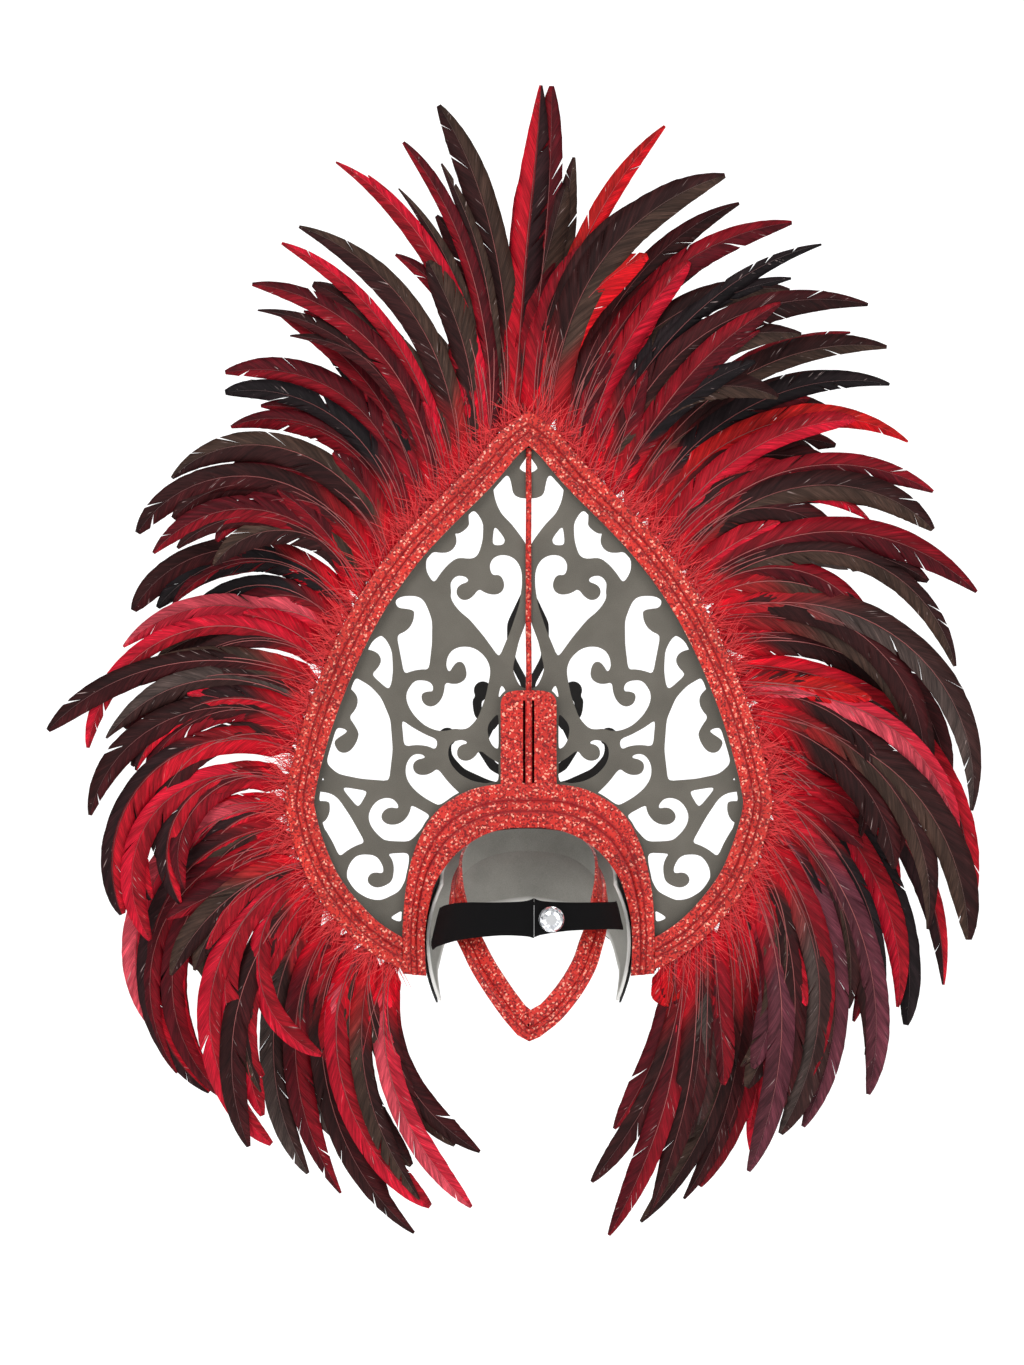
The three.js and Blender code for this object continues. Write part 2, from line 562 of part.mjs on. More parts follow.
// The ring that sits on the head: across, ahead and fall as shares of its half width, half depth
// and fall; face is the heading of its outside in degrees, where 90 is ahead; wide scales the width;
// lean is the share by which the wearer's right-hand side stands further out than the left.
const RING = [
  { across: 0, ahead: 1, fall: 0, face: 90, wide: 0.95 },
  { across: 0.4, ahead: 0.93, fall: 0.01, face: 72, wide: 0.95 },
  { across: 0.72, ahead: 0.72, fall: 0.05, face: 48, wide: 0.95 },
  { across: 0.92, ahead: 0.4, fall: 0.12, face: 0, wide: 1 },
  { across: 1, ahead: 0.05, fall: 0.22, face: -38, wide: 1.05 },
  { across: 0.97, ahead: -0.35, fall: 0.345, face: -60, wide: 1 },
  { across: 0.87, ahead: -0.67, fall: 0.465, face: -68, wide: 1, lean: 0.03 },
  { across: 0.75, ahead: -0.86, fall: 0.555, face: -74, wide: 1, lean: 0.07 },
  { across: 0.61, ahead: -1.01, fall: 0.665, face: -77, wide: 1, lean: 0.11 },
  { across: 0.4, ahead: -1.14, fall: 0.8, face: -80, wide: 1, lean: 0.12 },
  { across: 0.17, ahead: -1.22, fall: 0.93, face: -86, wide: 1, lean: 0.08 },
  { across: 0, ahead: -1.25, fall: 1, face: -90, wide: 1.12 },
];

// The rows run down one side; the other side is their mirror image without the lean.
function ringStations() {
  const right = RING.map((r) => ({ ...r, across: r.across + (r.lean ?? 0) }));
  const otherSide = RING.slice(1, -1).reverse();
  return right.concat(otherSide.map((r) => ({ ...r, across: -r.across, face: 180 - r.face })));
}

function makeNapeRing() {
  const stations = ringStations();
  const centres = stations.map((r) => new THREE.Vector3(
    r.across * RING_HALF_WIDTH,
    r.ahead * RING_HALF_DEPTH,
    RING_TOP - r.fall * RING_FALL,
  ));
  const half = RING_WIDTH / 2;
  const ribAt = half * RING_RIB_AT;
  const section = [[-half, 0], [-half, RING_WALL], [ribAt - RIB_WIDTH / 2, RING_WALL],
    [ribAt, RING_WALL + RIB_HEIGHT], [ribAt + RIB_WIDTH / 2, RING_WALL], [half, RING_WALL], [half, 0]];
  const rings = centres.map((centre, i) => {
    const before = centres[(i + centres.length - 1) % centres.length];
    const after = centres[(i + 1) % centres.length];
    const along = after.clone().sub(before).normalize();
    const face = THREE.MathUtils.degToRad(stations[i].face);
    const out = new THREE.Vector3(Math.cos(face), Math.sin(face), 0);
    const across = along.clone().cross(out).normalize();
    out.copy(across).cross(along).normalize();
    return section.map(([w, t]) => centre.clone()
      .addScaledVector(across, -w * stations[i].wide)
      .addScaledVector(out, t - RING_WALL));
  });
  return solid(loft(rings, true));
}

// The elastic strap halves. Turn is the heading from straight behind in degrees, heights are shares
// of the strap's height: middle above the origin, tall its width there.
const STRAP_LEFT = [
  { turn: -STRAP_END, middle: -0.24, tall: 1.05 },
  { turn: -80, middle: -0.19, tall: 1.04 },
  { turn: -66, middle: -0.06, tall: 1 },
  { turn: -42, middle: 0.14, tall: 0.9 },
  { turn: -18, middle: 0.24, tall: 0.8 },
  { turn: -3, middle: 0.26, tall: 0.84 },
  { turn: STRAP_JOIN, middle: 0.27, tall: 0.96 },
];
const STRAP_RIGHT = [
  { turn: STRAP_JOIN + THREE.MathUtils.radToDeg(GAP / STRAP_BACK), middle: 0.28, tall: 0.94 },
  { turn: 8, middle: 0.28, tall: 0.8 },
  { turn: 24, middle: 0.29, tall: 0.68 },
  { turn: 48, middle: 0.25, tall: 0.66 },
  { turn: 68, middle: 0.18, tall: 0.68 },
  { turn: 80, middle: 0.13, tall: 0.7 },
  { turn: STRAP_END, middle: 0.1, tall: 0.7 },
];
const STRAP_STEPS = 2;

// Half the distance between the wings' inner faces at a height, along their back edges.
function wingInside(z) {
  const row = browRow(BROW_END);
  const up = THREE.MathUtils.inverseLerp(row.bottom, row.top, z / BROW_HALF_WIDTH);
  const below = Math.floor(up * BROW_ROWS);
  const [low, high] = [below, below + 1].map((step) => browPoint(BROW_END, step / BROW_ROWS, BROW_WALL).x);
  return THREE.MathUtils.lerp(low, high, up * BROW_ROWS - below);
}

// The strap is an oval in plan; its ends lean with the wings.
function strapPoint(turn, z, depth, inset) {
  const heading = THREE.MathUtils.degToRad(turn);
  const reach = THREE.MathUtils.lerp(STRAP_HALF_WIDTH, wingInside(z) - inset, Math.sin(heading) ** 4);
  const x = Math.sin(heading) * (reach - depth);
  const y = -Math.cos(heading) * (STRAP_BACK - depth);
  return new THREE.Vector3(x, y, z);
}

function makeStrap(table, inset) {
  const rings = [];
  for (let i = 0; i < table.length - 1; i += 1) {
    const steps = i === table.length - 2 ? STRAP_STEPS + 1 : STRAP_STEPS;
    for (let step = 0; step < steps; step += 1) {
      const share = step / STRAP_STEPS;
      const [turn, middle, tall] = ['turn', 'middle', 'tall'].map(
        (key) => THREE.MathUtils.lerp(table[i][key], table[i + 1][key], share),
      );
      const low = (middle - tall / 2) * STRAP_HEIGHT;
      const high = (middle + tall / 2) * STRAP_HEIGHT;
      const corners = [[low, 0], [high, 0], [high, STRAP_WALL], [low, STRAP_WALL]];
      rings.push(corners.map(([z, depth]) => strapPoint(turn, z, depth, inset)));
    }
  }
  return solid(loft(rings));
}

// The cut-stone button on the strap: a table, crown facets, girdle and a flat back.
const BUTTON_SIDES = 12;
const BUTTON_ACROSS = 19;
const BUTTON_UP = 9;

function makeButton() {
  const rows = [
    { radius: 0.9, up: 0, turn: 0 },
    { radius: 1, up: 0.22, turn: 0 },
    { radius: 0.86, up: 0.62, turn: 0.5 },
    { radius: 0.55, up: 1, turn: 0 },
  ];
  const back = -STRAP_BACK - GAP;
  const rings = rows.map(({ radius, up, turn }) => {
    const ring = [];
    for (let i = 0; i < BUTTON_SIDES; i += 1) {
      const angle = ((i + turn) / BUTTON_SIDES) * Math.PI * 2;
      const reach = radius * BUTTON_RADIUS;
      ring.push(new THREE.Vector3(
        BUTTON_ACROSS + Math.cos(angle) * reach,
        back - up * BUTTON_HEIGHT,
        BUTTON_UP + Math.sin(angle) * reach,
      ));
    }
    return ring;
  });
  return solid(loft(rings));
}

// Feathers, three or four to a fan, on strips glued in the channel behind the rim band.
// Columns: at, the root's share of the way from foot to apex; aim, its first direction in degrees
// above outwards; curl, the turn down to its tip; long and wide, shares of length and width.
const LEFT_FANS = [
  [[0.055, -72, 65, 0.84, 0.88], [0.08, -68, 58, 0.81, 0.8], [0.1, -52, 95, 0.93, 1]],
  [[0.125, -52, 91, 1.05, 1], [0.155, -50, 75, 0.93, 1], [0.18, -42, 82, 0.92, 0.95]],
  [[0.21, -34, 80, 0.87, 0.95], [0.225, -14, 130, 1, 0.88], [0.245, -8, 62, 0.55, 0.95]],
  [[0.27, 2, 150, 1.08, 0.95], [0.295, 5, 150, 1.14, 1], [0.32, 12, 143, 1.03, 0.95]],
  [[0.35, 34, 160, 0.87, 0.9], [0.405, 30, 146, 0.95, 1], [0.435, 38, 120, 0.83, 0.95]],
  [[0.47, 35, 88, 0.71, 0.95], [0.505, 28, 77, 0.91, 0.88], [0.53, 44, 130, 0.97, 0.7]],
  [[0.55, 48, 95, 0.74, 0.95], [0.58, 62, 160, 0.76, 0.88], [0.617, 58, 122, 0.84, 0.95]],
  [[0.645, 67, 120, 0.79, 0.95], [0.675, 72, 134, 0.92, 0.95], [0.705, 80, 130, 0.86, 1.1]],
  [[0.735, 86, 100, 0.82, 0.8], [0.755, 86, 100, 0.88, 0.95], [0.776, 84, 62, 0.82, 0.95]],
  [[0.808, 88, 85, 0.96, 0.8], [0.835, 83, 61, 0.96, 0.6], [0.855, 89, 71, 0.99, 1]],
  [[0.888, 89, 28, 0.66, 1.1], [0.903, 92, 66, 1.07, 0.75], [0.912, 95, 47, 1.02, 0.6]],
  [[0.947, 96, 40, 1.07, 1.15], [0.962, 97, 5, 1.08, 1.15], [0.98, 99, 9, 1.06, 1.1]],
];
const RIGHT_FANS = [
  [[0.064, -92, 5, 0.16, 1.1], [0.085, -87, 33, 0.9, 0.95], [0.11, -86, 26, 0.85, 0.95],
    [0.127, -82, 19, 0.59, 0.9]],
  [[0.158, -70, 64, 1.03, 0.9], [0.18, -67, 54, 0.92, 1], [0.199, -68, 35, 0.75, 0.85]],
  [[0.233, -62, 54, 0.94, 0.95], [0.25, -52, 73, 0.93, 0.95], [0.279, -48, 74, 0.96, 1]],
  [[0.315, -46, 73, 1.02, 0.95], [0.335, -35, 71, 1, 0.88], [0.354, -28, 82, 0.95, 0.6]],
  [[0.385, -19, 82, 0.92, 0.95], [0.41, -21, 81, 1.05, 0.88], [0.435, -13, 80, 1.07, 0.88]],
  [[0.465, -3, 88, 1.05, 1.15], [0.49, 12, 92, 0.86, 0.88], [0.515, 0, 15, 0.42, 0.9]],
  [[0.54, 2, 105, 1.27, 1], [0.565, 15, 79, 0.76, 0.95], [0.59, 18, 109, 1.01, 0.95]],
  [[0.615, 20, 121, 1.21, 1.1], [0.64, 42, 122, 1, 0.8], [0.66, 38, 84, 0.97, 1.2]],
  [[0.685, 60, 110, 0.92, 1.1], [0.71, 53, 85, 0.93, 0.95], [0.73, 61, 61, 0.76, 0.88]],
  [[0.755, 66, 103, 0.98, 0.95], [0.775, 65, 80, 0.97, 0.88], [0.8, 67, 78, 1.04, 1]],
  [[0.825, 68, 42, 0.79, 0.95], [0.85, 72, 87, 1.08, 1.1], [0.87, 72, 62, 1.03, 0.65]],
  [[0.89, 76, 32, 0.73, 0.88], [0.91, 78, 73, 1.07, 1], [0.924, 82, 64, 0.98, 0.95]],
  [[0.956, 86, 72, 1.01, 1.3], [0.968, 90, 43, 0.65, 1], [0.98, 83, 39, 1, 0.72]],
];
const FAN_LAYERS = [0, 2, -2, 1, -1];
const STRIP_CLEARANCE = 5; // between the arch band's foot and the first strip
const ROOT_CLEARANCE = 12; // and the first feather root
const OUTLINE_CHECKS = 500; // places tried along the outline for that start
const STRIP_STEPS = 3;
const BLADE_STEPS = 4;
const WALK_STEPS = 6; // small steps along a blade's curve between two of its sections
// Over one, the curl gathers towards the tip; it grows from the feathers at the foot to the apex.
const BEND = { foot: 0.75, apex: 1.3 };
// Width and thickness along a blade, as shares of its own, from the root.
const BLADE_SHAPE = [[0.36, 0.35], [0.82, 0.8], [1, 1], [0.94, 0.95], [0, 0]];

// The first strip and the first root lie where the outline has cleared the foot of the arch band.
const outlineShares = Array.from({ length: OUTLINE_CHECKS }, (_, i) => i / OUTLINE_CHECKS);
const [firstStrip, firstRoot] = [STRIP_CLEARANCE, ROOT_CLEARANCE].map((clearance) => (
  outlineShares.find((share) => spadeHalf.getPointAt(share).x > ARCH_HALF_WIDTH + clearance)
));

// Root position on the rim, in the panel's plane.
function rootPoint(at, side, inset = ROOT_INSET) {
  const point = spadeHalf.getPointAt(at);
  const along = spadeHalf.getTangentAt(at);
  return new THREE.Vector2(side * (point.x - along.y * inset), point.y + along.x * inset);
}

// Depth of a blade at a distance from its root: order counts the blades of one fan from its middle.
function layerDepth(layer, order, distance) {
  const open = THREE.MathUtils.smoothstep(distance, SPREAD_START, SPREAD_END);
  const fan = layer * THREE.MathUtils.lerp(LAYER_STEP, LAYER_SPREAD, open);
  return channelMiddle + fan + order * BLADE_SPREAD * open;
}

// One blade: a vane flat in front and ridged behind, carried along the feather's curve to a point.
function blade([at, aim, curl, long, wide], side, layer, order) {
  const length = long * FEATHER_LENGTH;
  const width = wide * FEATHER_WIDTH;
  const bend = THREE.MathUtils.lerp(BEND.foot, BEND.apex, at);
  const spot = rootPoint(Math.max(at, firstRoot), side);
  const rings = [];
  for (let i = 0; i <= BLADE_STEPS; i += 1) {
    const share = i / BLADE_STEPS;
    const slope = THREE.MathUtils.degToRad(aim - curl * share ** bend);
    const [widthShare, thickShare] = BLADE_SHAPE[i];
    const half = (width * widthShare) / 2;
    const thick = FEATHER_THICKNESS * thickShare;
    const normal = new THREE.Vector2(-side * Math.sin(slope), Math.cos(slope));
    const y = layerDepth(layer, order, share * length);
    const middle = new THREE.Vector3(spot.x, y - thick / 2, spot.y);
    const edges = [half, -half].map(
      (reach) => new THREE.Vector3(spot.x + normal.x * reach, y + thick / 2, spot.y + normal.y * reach),
    );
    rings.push(i === BLADE_STEPS ? [middle] : [...edges, middle]);
    for (let k = 0; k < WALK_STEPS; k += 1) {
      const within = (i + (k + 0.5) / WALK_STEPS) / BLADE_STEPS;
      const heading = THREE.MathUtils.degToRad(aim - curl * within ** bend);
      const step = length / BLADE_STEPS / WALK_STEPS;
      spot.x += side * Math.cos(heading) * step;
      spot.y += Math.sin(heading) * step;
    }
  }
  return pointedLoft(rings);
}

// A three-sided loft whose last ring is a single point.
function pointedLoft(rings) {
  const positions = [];
  const index = [];
  const size = rings[0].length;
  rings.forEach((ring) => ring.forEach((p) => positions.push(p.x, p.y, p.z)));
  const tip = positions.length / 3 - 1;
  for (let i = 0; i < rings.length - 1; i += 1) {
    for (let j = 0; j < size; j += 1) {
      const k = (j + 1) % size;
      const [a, b] = [i * size + j, i * size + k];
      if (i === rings.length - 2) {
        index.push(a, b, tip);
      } else {
        index.push(a, b, b + size, a, b + size, a + size);
      }
    }
  }
  index.push(0, 2, 1);
  const geometry = new THREE.BufferGeometry();
  geometry.setAttribute('position', new THREE.Float32BufferAttribute(positions, 3));
  geometry.setIndex(index);
  return faceOutwards(geometry);
}

// The binding strip that carries one fan, filling its stretch of the channel.
function bindingStrip(from, to, side) {
  const outer = [];
  const inner = [];
  for (let i = 0; i <= STRIP_STEPS; i += 1) {
    const at = THREE.MathUtils.lerp(from, to, i / STRIP_STEPS);
    outer.push(rootPoint(at, side, PANEL_SETBACK));
    inner.push(rootPoint(at, side, CORE_SETBACK - BINDING_CLEARANCE));
  }
  const outline = outer.concat(inner.reverse());
  if (side > 0) outline.reverse();
  return plate(outline, coreFront - GAP, coreBack + GAP);
}

function makeFan(fans, number, side) {
  const rows = fans[number];
  const outlineLength = spadeHalf.getLength();
  const slack = GAP / outlineLength;
  const first = number === 0 ? firstStrip : (fans[number - 1].at(-1)[0] + rows[0][0]) / 2;
  const lastEdge = 1 - CORE_SETBACK / outlineLength;
  const last = number === fans.length - 1 ? lastEdge : (rows.at(-1)[0] + fans[number + 1][0][0]) / 2;
  const layer = FAN_LAYERS[(number + (side > 0 ? 2 : 0)) % FAN_LAYERS.length];
  const strip = bindingStrip(first + slack, last - slack, side);
  const middle = (rows.length - 1) / 2;
  return joined([strip, ...rows.map((row, i) => blade(row, side, layer, i - middle))]);
}

// Materials.

function material(colour, roughness, metalness = 0) {
  return new THREE.MeshStandardMaterial({ color: colour, roughness, metalness });
}

const darkFoam = () => material(0x5b574f, 0.85);
const greyFoam = () => material(0x8b8a82, 0.85);
const blackFoam = () => material(0x1d1b1a, 0.8);
const redGlitter = () => material(0xc8372b, 0.45, 0.3);
const blackElastic = () => material(0x0c0b0c, 0.9);
const crystal = () => material(0xdfe2e6, 0.08, 0.2);
const featherColours = [0x3a1512, 0x6f0f14, 0x2b1513, 0x9c1420, 0x4a1618];

// Assembly.

const headdress = new THREE.Group();

function place(name, body, look) {
  const mesh = new THREE.Mesh(toGeometry(body), look);
  mesh.name = name;
  headdress.add(mesh);
}

place('pierced_panel', makePanel(), darkFoam());
place('rim_core', makeRimCore(), darkFoam());
place('arch_core', makeArchCore(), darkFoam());
place('rim_band', makeRimBand(), redGlitter());
place('arch_band', makeArchBand(), redGlitter());
place('centre_tab', makeCentreTab(), redGlitter());
place('centre_rod', makeCentreRod(), redGlitter());
place('forehead_band', makeForeheadBand(), greyFoam());
place('forehead_cover', makeForeheadCover(), blackFoam());
place('front_plaque', makePlaque(), blackFoam());
place('nape_ring', makeNapeRing(), redGlitter());
place('strap_left', makeStrap(STRAP_LEFT, STRAP_INSET + STRAP_BRIDGE), blackElastic());
place('strap_right', makeStrap(STRAP_RIGHT, STRAP_INSET), blackElastic());
place('crystal_button', makeButton(), crystal());
for (const [side, fans, word] of [[-1, LEFT_FANS, 'left'], [1, RIGHT_FANS, 'right']]) {
  fans.forEach((rows, number) => {
    const label = String(number + 1).padStart(2, '0');
    const look = material(featherColours[number % featherColours.length], 0.6);
    place(`feather_fan_${word}_${label}`, makeFan(fans, number, side), look);
  });
}

export default headdress;
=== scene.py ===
"""Dresses the feathered headdress: feathers, glitter bands, pierced foam panel, wall, ring, straps."""

import logging
import math
import random
from dataclasses import dataclass, field
from enum import Enum
from typing import Callable, Sequence

import bmesh
import bpy
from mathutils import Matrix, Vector, noise


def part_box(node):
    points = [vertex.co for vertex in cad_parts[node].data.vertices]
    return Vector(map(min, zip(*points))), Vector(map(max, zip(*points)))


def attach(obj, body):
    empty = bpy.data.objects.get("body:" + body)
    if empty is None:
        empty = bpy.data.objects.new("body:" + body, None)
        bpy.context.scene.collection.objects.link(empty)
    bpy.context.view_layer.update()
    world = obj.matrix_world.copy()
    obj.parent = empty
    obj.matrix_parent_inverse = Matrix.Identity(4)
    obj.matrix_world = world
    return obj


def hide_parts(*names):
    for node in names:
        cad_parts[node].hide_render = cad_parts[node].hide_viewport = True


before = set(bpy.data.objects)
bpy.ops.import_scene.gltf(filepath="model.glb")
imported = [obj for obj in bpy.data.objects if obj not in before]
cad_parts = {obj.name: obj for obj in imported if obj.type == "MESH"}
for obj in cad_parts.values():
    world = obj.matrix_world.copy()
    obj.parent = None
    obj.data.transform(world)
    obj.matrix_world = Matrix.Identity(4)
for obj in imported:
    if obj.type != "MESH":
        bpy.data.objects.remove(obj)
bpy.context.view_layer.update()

log = logging.getLogger("headdress")

MM = 0.001
BODY = "root"

Point2 = tuple[float, float]
Ring = list[Vector]


# Shared sizes of the panel assembly, in millimetres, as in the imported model.


@dataclass(frozen=True)
class PanelSizes:
    """Sizes that several pieces share."""

    half_width: float = 217.0
    height: float = 507.0
    foot: float = -50.0
    band_width: float = 26.0
    band_thickness: float = 2.0
    rib_width: float = 4.0
    rib_height: float = 2.4
    core_thickness: float = 8.0
    gap: float = 0.3
    opening_half_width: float = 93.0
    arch_half_width: float = 113.0
    arch_rise: float = 172.0
    brow_half_width: float = 92.2
    brow_reach: float = 88.0
    brow_wall: float = 3.0
    cover_wall: float = 2.0
    cover_gap: float = 1.6

    @property
    def core_back(self) -> float:
        """Depth of the foam core's back face."""
        return -self.gap - self.core_thickness

    @property
    def band_front(self) -> float:
        """Depth of the glitter bands' glued face."""
        return self.core_back - self.gap

    @property
    def band_back(self) -> float:
        """Depth of the glitter bands' flat outer face."""
        return self.band_front - self.band_thickness

    @property
    def channel_middle(self) -> float:
        """Depth of the middle of the feather channel."""
        return (-self.gap + self.core_back) / 2


SIZES = PanelSizes()

SPADE: tuple[Point2, ...] = (
    (0.426, 0), (0.57, 0.021), (0.735, 0.071), (0.899, 0.16), (0.996, 0.275), (0.993, 0.346),
    (0.899, 0.488), (0.735, 0.645), (0.529, 0.773), (0.241, 0.901), (0.117, 0.962), (0, 1),
)
ARCH_OUTER: tuple[Point2, ...] = (
    (1, 0.012), (1, 0.223), (0.985, 0.392), (0.955, 0.531), (0.905, 0.653), (0.83, 0.77),
    (0.74, 0.851), (0.62, 0.915), (0.44, 0.974), (0.212, 1), (0, 1),
)
ARCH_INNER: tuple[Point2, ...] = (
    (0.985, 0), (1, 0.177), (0.973, 0.33), (0.906, 0.468), (0.808, 0.566), (0.688, 0.642),
    (0.528, 0.706), (0.355, 0.75), (0.182, 0.77), (0, 0.773),
)


# Small arithmetic helpers.


def lerp(a: float, b: float, t: float) -> float:
    """Value a share t of the way from a to b."""
    return a + (b - a) * t


def smoothstep(value: float, low: float, high: float) -> float:
    """Eased share of the way from low to high, held between 0 and 1."""
    t = min(1.0, max(0.0, (value - low) / (high - low)))
    return t * t * (3 - 2 * t)


class Outline:
    """A smooth open line through given points, walked by share of its length."""

    def __init__(self, points: Sequence[Sequence[float]], fine: int = 24) -> None:
        """Prepares the length table.

        Args:
            points: the line's points, all with the same number of coordinates.
            fine: steps between two points for measuring.
        """
        self.points = [Vector(p) for p in points]
        self.fine = fine
        count = (len(self.points) - 1) * fine
        samples = [self.raw(i / count) for i in range(count + 1)]
        self.lengths = [0.0]
        for a, b in zip(samples, samples[1:]):
            self.lengths.append(self.lengths[-1] + (b - a).length)

    @property
    def length(self) -> float:
        """Whole length of the line."""
        return self.lengths[-1]

    def raw(self, t: float) -> Vector:
        """Point at share t of the points' count.

        Args:
            t: 0 at the first point, 1 at the last.

        Returns:
            The point on a uniform Catmull-Rom curve.
        """
        spans = len(self.points) - 1
        place = min(max(t, 0.0), 1.0) * spans
        i = min(int(place), spans - 1)
        w = place - i
        p0 = self.points[max(i - 1, 0)] if i else self.points[i]
        p1, p2 = self.points[i], self.points[i + 1]
        p3 = self.points[i + 2] if i + 2 <= spans else self.points[i + 1]
        v0, v1 = (p2 - p0) * 0.5, (p3 - p1) * 0.5
        return (
            (2 * p1 - 2 * p2 + v0 + v1) * w**3
            + (-3 * p1 + 3 * p2 - 2 * v0 - v1) * w**2
            + v0 * w
            + p1
        )

    def at(self, share: float) -> Vector:
        """Point at a share of the length.

        Args:
            share: 0 at the start, 1 at the end.

        Returns:
            The point on the line.
        """
        target = min(max(share, 0.0), 1.0) * self.length
        low, high = 0, len(self.lengths) - 1
        while high - low > 1:
            middle = (low + high) // 2
            if self.lengths[middle] <= target:
                low = middle
            else:
                high = middle
        span = self.lengths[high] - self.lengths[low]
        part = (target - self.lengths[low]) / span if span else 0.0
        return self.raw((low + part) / (len(self.lengths) - 1))

    def along(self, share: float) -> Vector:
        """Unit direction of the line at a share of its length."""
        return (self.at(share + 0.0005) - self.at(share - 0.0005)).normalized()


def on_panel(table: Sequence[Point2], across: float, up: float) -> Outline:
    """Right-hand half of an outline of the panel.

    Args:
        table: points as shares.
        across: size that the first share scales.
        up: size that the second share scales.

    Returns:
        The line from its foot to the centre.
    """
    return Outline([(x * across, SIZES.foot + z * up) for x, z in table])


SPADE_HALF = on_panel(SPADE, SIZES.half_width, SIZES.height)
ARCH_HALF = on_panel(ARCH_OUTER, SIZES.arch_half_width, SIZES.arch_rise)
OPENING_HALF = on_panel(ARCH_INNER, SIZES.opening_half_width, SIZES.arch_rise)


def inset(line: Outline, steps: int, distance: float) -> list[Vector]:
    """A half outline moved inwards, its end kept on the centre line.

    Args:
        line: the half outline, foot to centre.
        steps: spans in the result.
        distance: how far it moves, in mm.

    Returns:
        The points, foot to centre.
    """
    moved = []
    for i in range(steps + 1):
        p, t = line.at(i / steps), line.along(i / steps)
        moved.append(Vector((p.x - t.y * distance, p.y + t.x * distance)))
    meet = next((i for i, p in enumerate(moved) if p.x <= 1e-6), steps)
    if meet:
        a, b = moved[meet - 1], moved[meet]
        apex = a.lerp(b, a.x / (a.x - b.x)) if a.x != b.x else b
        rest = steps + 1 - meet
        for i in range(meet, steps + 1):
            moved[i] = a.lerp(apex, (i + 1 - meet) / rest)
    return moved


# Mesh helpers.


def grid_verts(bm: bmesh.types.BMesh, columns: int, rows: int) -> list[list[bmesh.types.BMVert]]:
    """Adds a grid and hands back its vertices by place.

    Args:
        bm: mesh that takes the grid.
        columns: spans along.
        rows: spans across.

    Returns:
        Vertices as lists along, each across.
    """
    made = bmesh.ops.create_grid(bm, x_segments=columns, y_segments=rows, size=1.0)["verts"]
    table: list[list[bmesh.types.BMVert]] = [[None] * (rows + 1) for _ in range(columns + 1)]
    for v in made:
        i = round((v.co.x + 1) / 2 * columns)
        j = round((v.co.y + 1) / 2 * rows)
        table[i][j] = v
    return table


def sweep(bm: bmesh.types.BMesh, rings: Sequence[Ring], closed: bool = False) -> None:
    """Bends a grid into a skin through rings of points, in metres.

    Args:
        bm: mesh that takes the skin.
        rings: sections of equal length.
        closed: whether the last ring joins the first.
    """
    path = list(rings) + ([rings[0]] if closed else [])
    size = len(path[0])
    table = grid_verts(bm, len(path) - 1, size)
    verts = []
    for i, ring in enumerate(path):
        for j in range(size + 1):
            table[i][j].co = ring[j % size]
            verts.append(table[i][j])
    bmesh.ops.remove_doubles(bm, verts=verts, dist=1e-6)
    if not closed:
        edges = [e for e in bm.edges if e.is_boundary]
        bmesh.ops.holes_fill(bm, edges=edges, sides=0)


def finish_piece(
    bm: bmesh.types.BMesh,
    name: str,
    look: bpy.types.Material,
    nodes: Sequence[str] = (),
    smooth: float | None = 35.0,
) -> bpy.types.Object:
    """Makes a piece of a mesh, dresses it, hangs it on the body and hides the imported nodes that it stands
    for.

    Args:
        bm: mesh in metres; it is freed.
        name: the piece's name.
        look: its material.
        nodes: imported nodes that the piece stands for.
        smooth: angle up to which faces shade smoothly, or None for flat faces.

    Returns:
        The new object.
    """
    mesh = bpy.data.meshes.new(name)
    bm.to_mesh(mesh)
    bm.free()
    piece = bpy.data.objects.new(name, mesh)
    bpy.context.scene.collection.objects.link(piece)
    mesh.materials.append(look)
    if smooth is not None:
        mesh.shade_smooth()
        mesh.set_sharp_from_angle(angle=math.radians(smooth))
    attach(piece, BODY)
    if nodes:
        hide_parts(*nodes)
    log.info("%s: %d faces", name, len(mesh.polygons))
    return piece


def add_bevel(piece: bpy.types.Object, width: float, segments: int = 1, angle: float = 40.0) -> None:
    """Rounds a piece's sharp edges.

    Args:
        piece: the piece.
        width: bevel width in mm.
        segments: steps round the edge.
        angle: edges sharper than this many degrees are rounded.
    """
    bevel = piece.modifiers.new("edge", "BEVEL")
    bevel.width = width * MM
    bevel.segments = segments
    bevel.limit_method = "ANGLE"
    bevel.angle_limit = math.radians(angle)
    bevel.harden_normals = False


# Shader trees.

Source = bpy.types.NodeSocket | float | Sequence[float]
Stop = tuple[float, Sequence[float]]


def greys(*stops: Point2) -> list[Stop]:
    """Colour stops of a grey ramp, from places and their values."""
    return [(place, (value, value, value)) for place, value in stops]


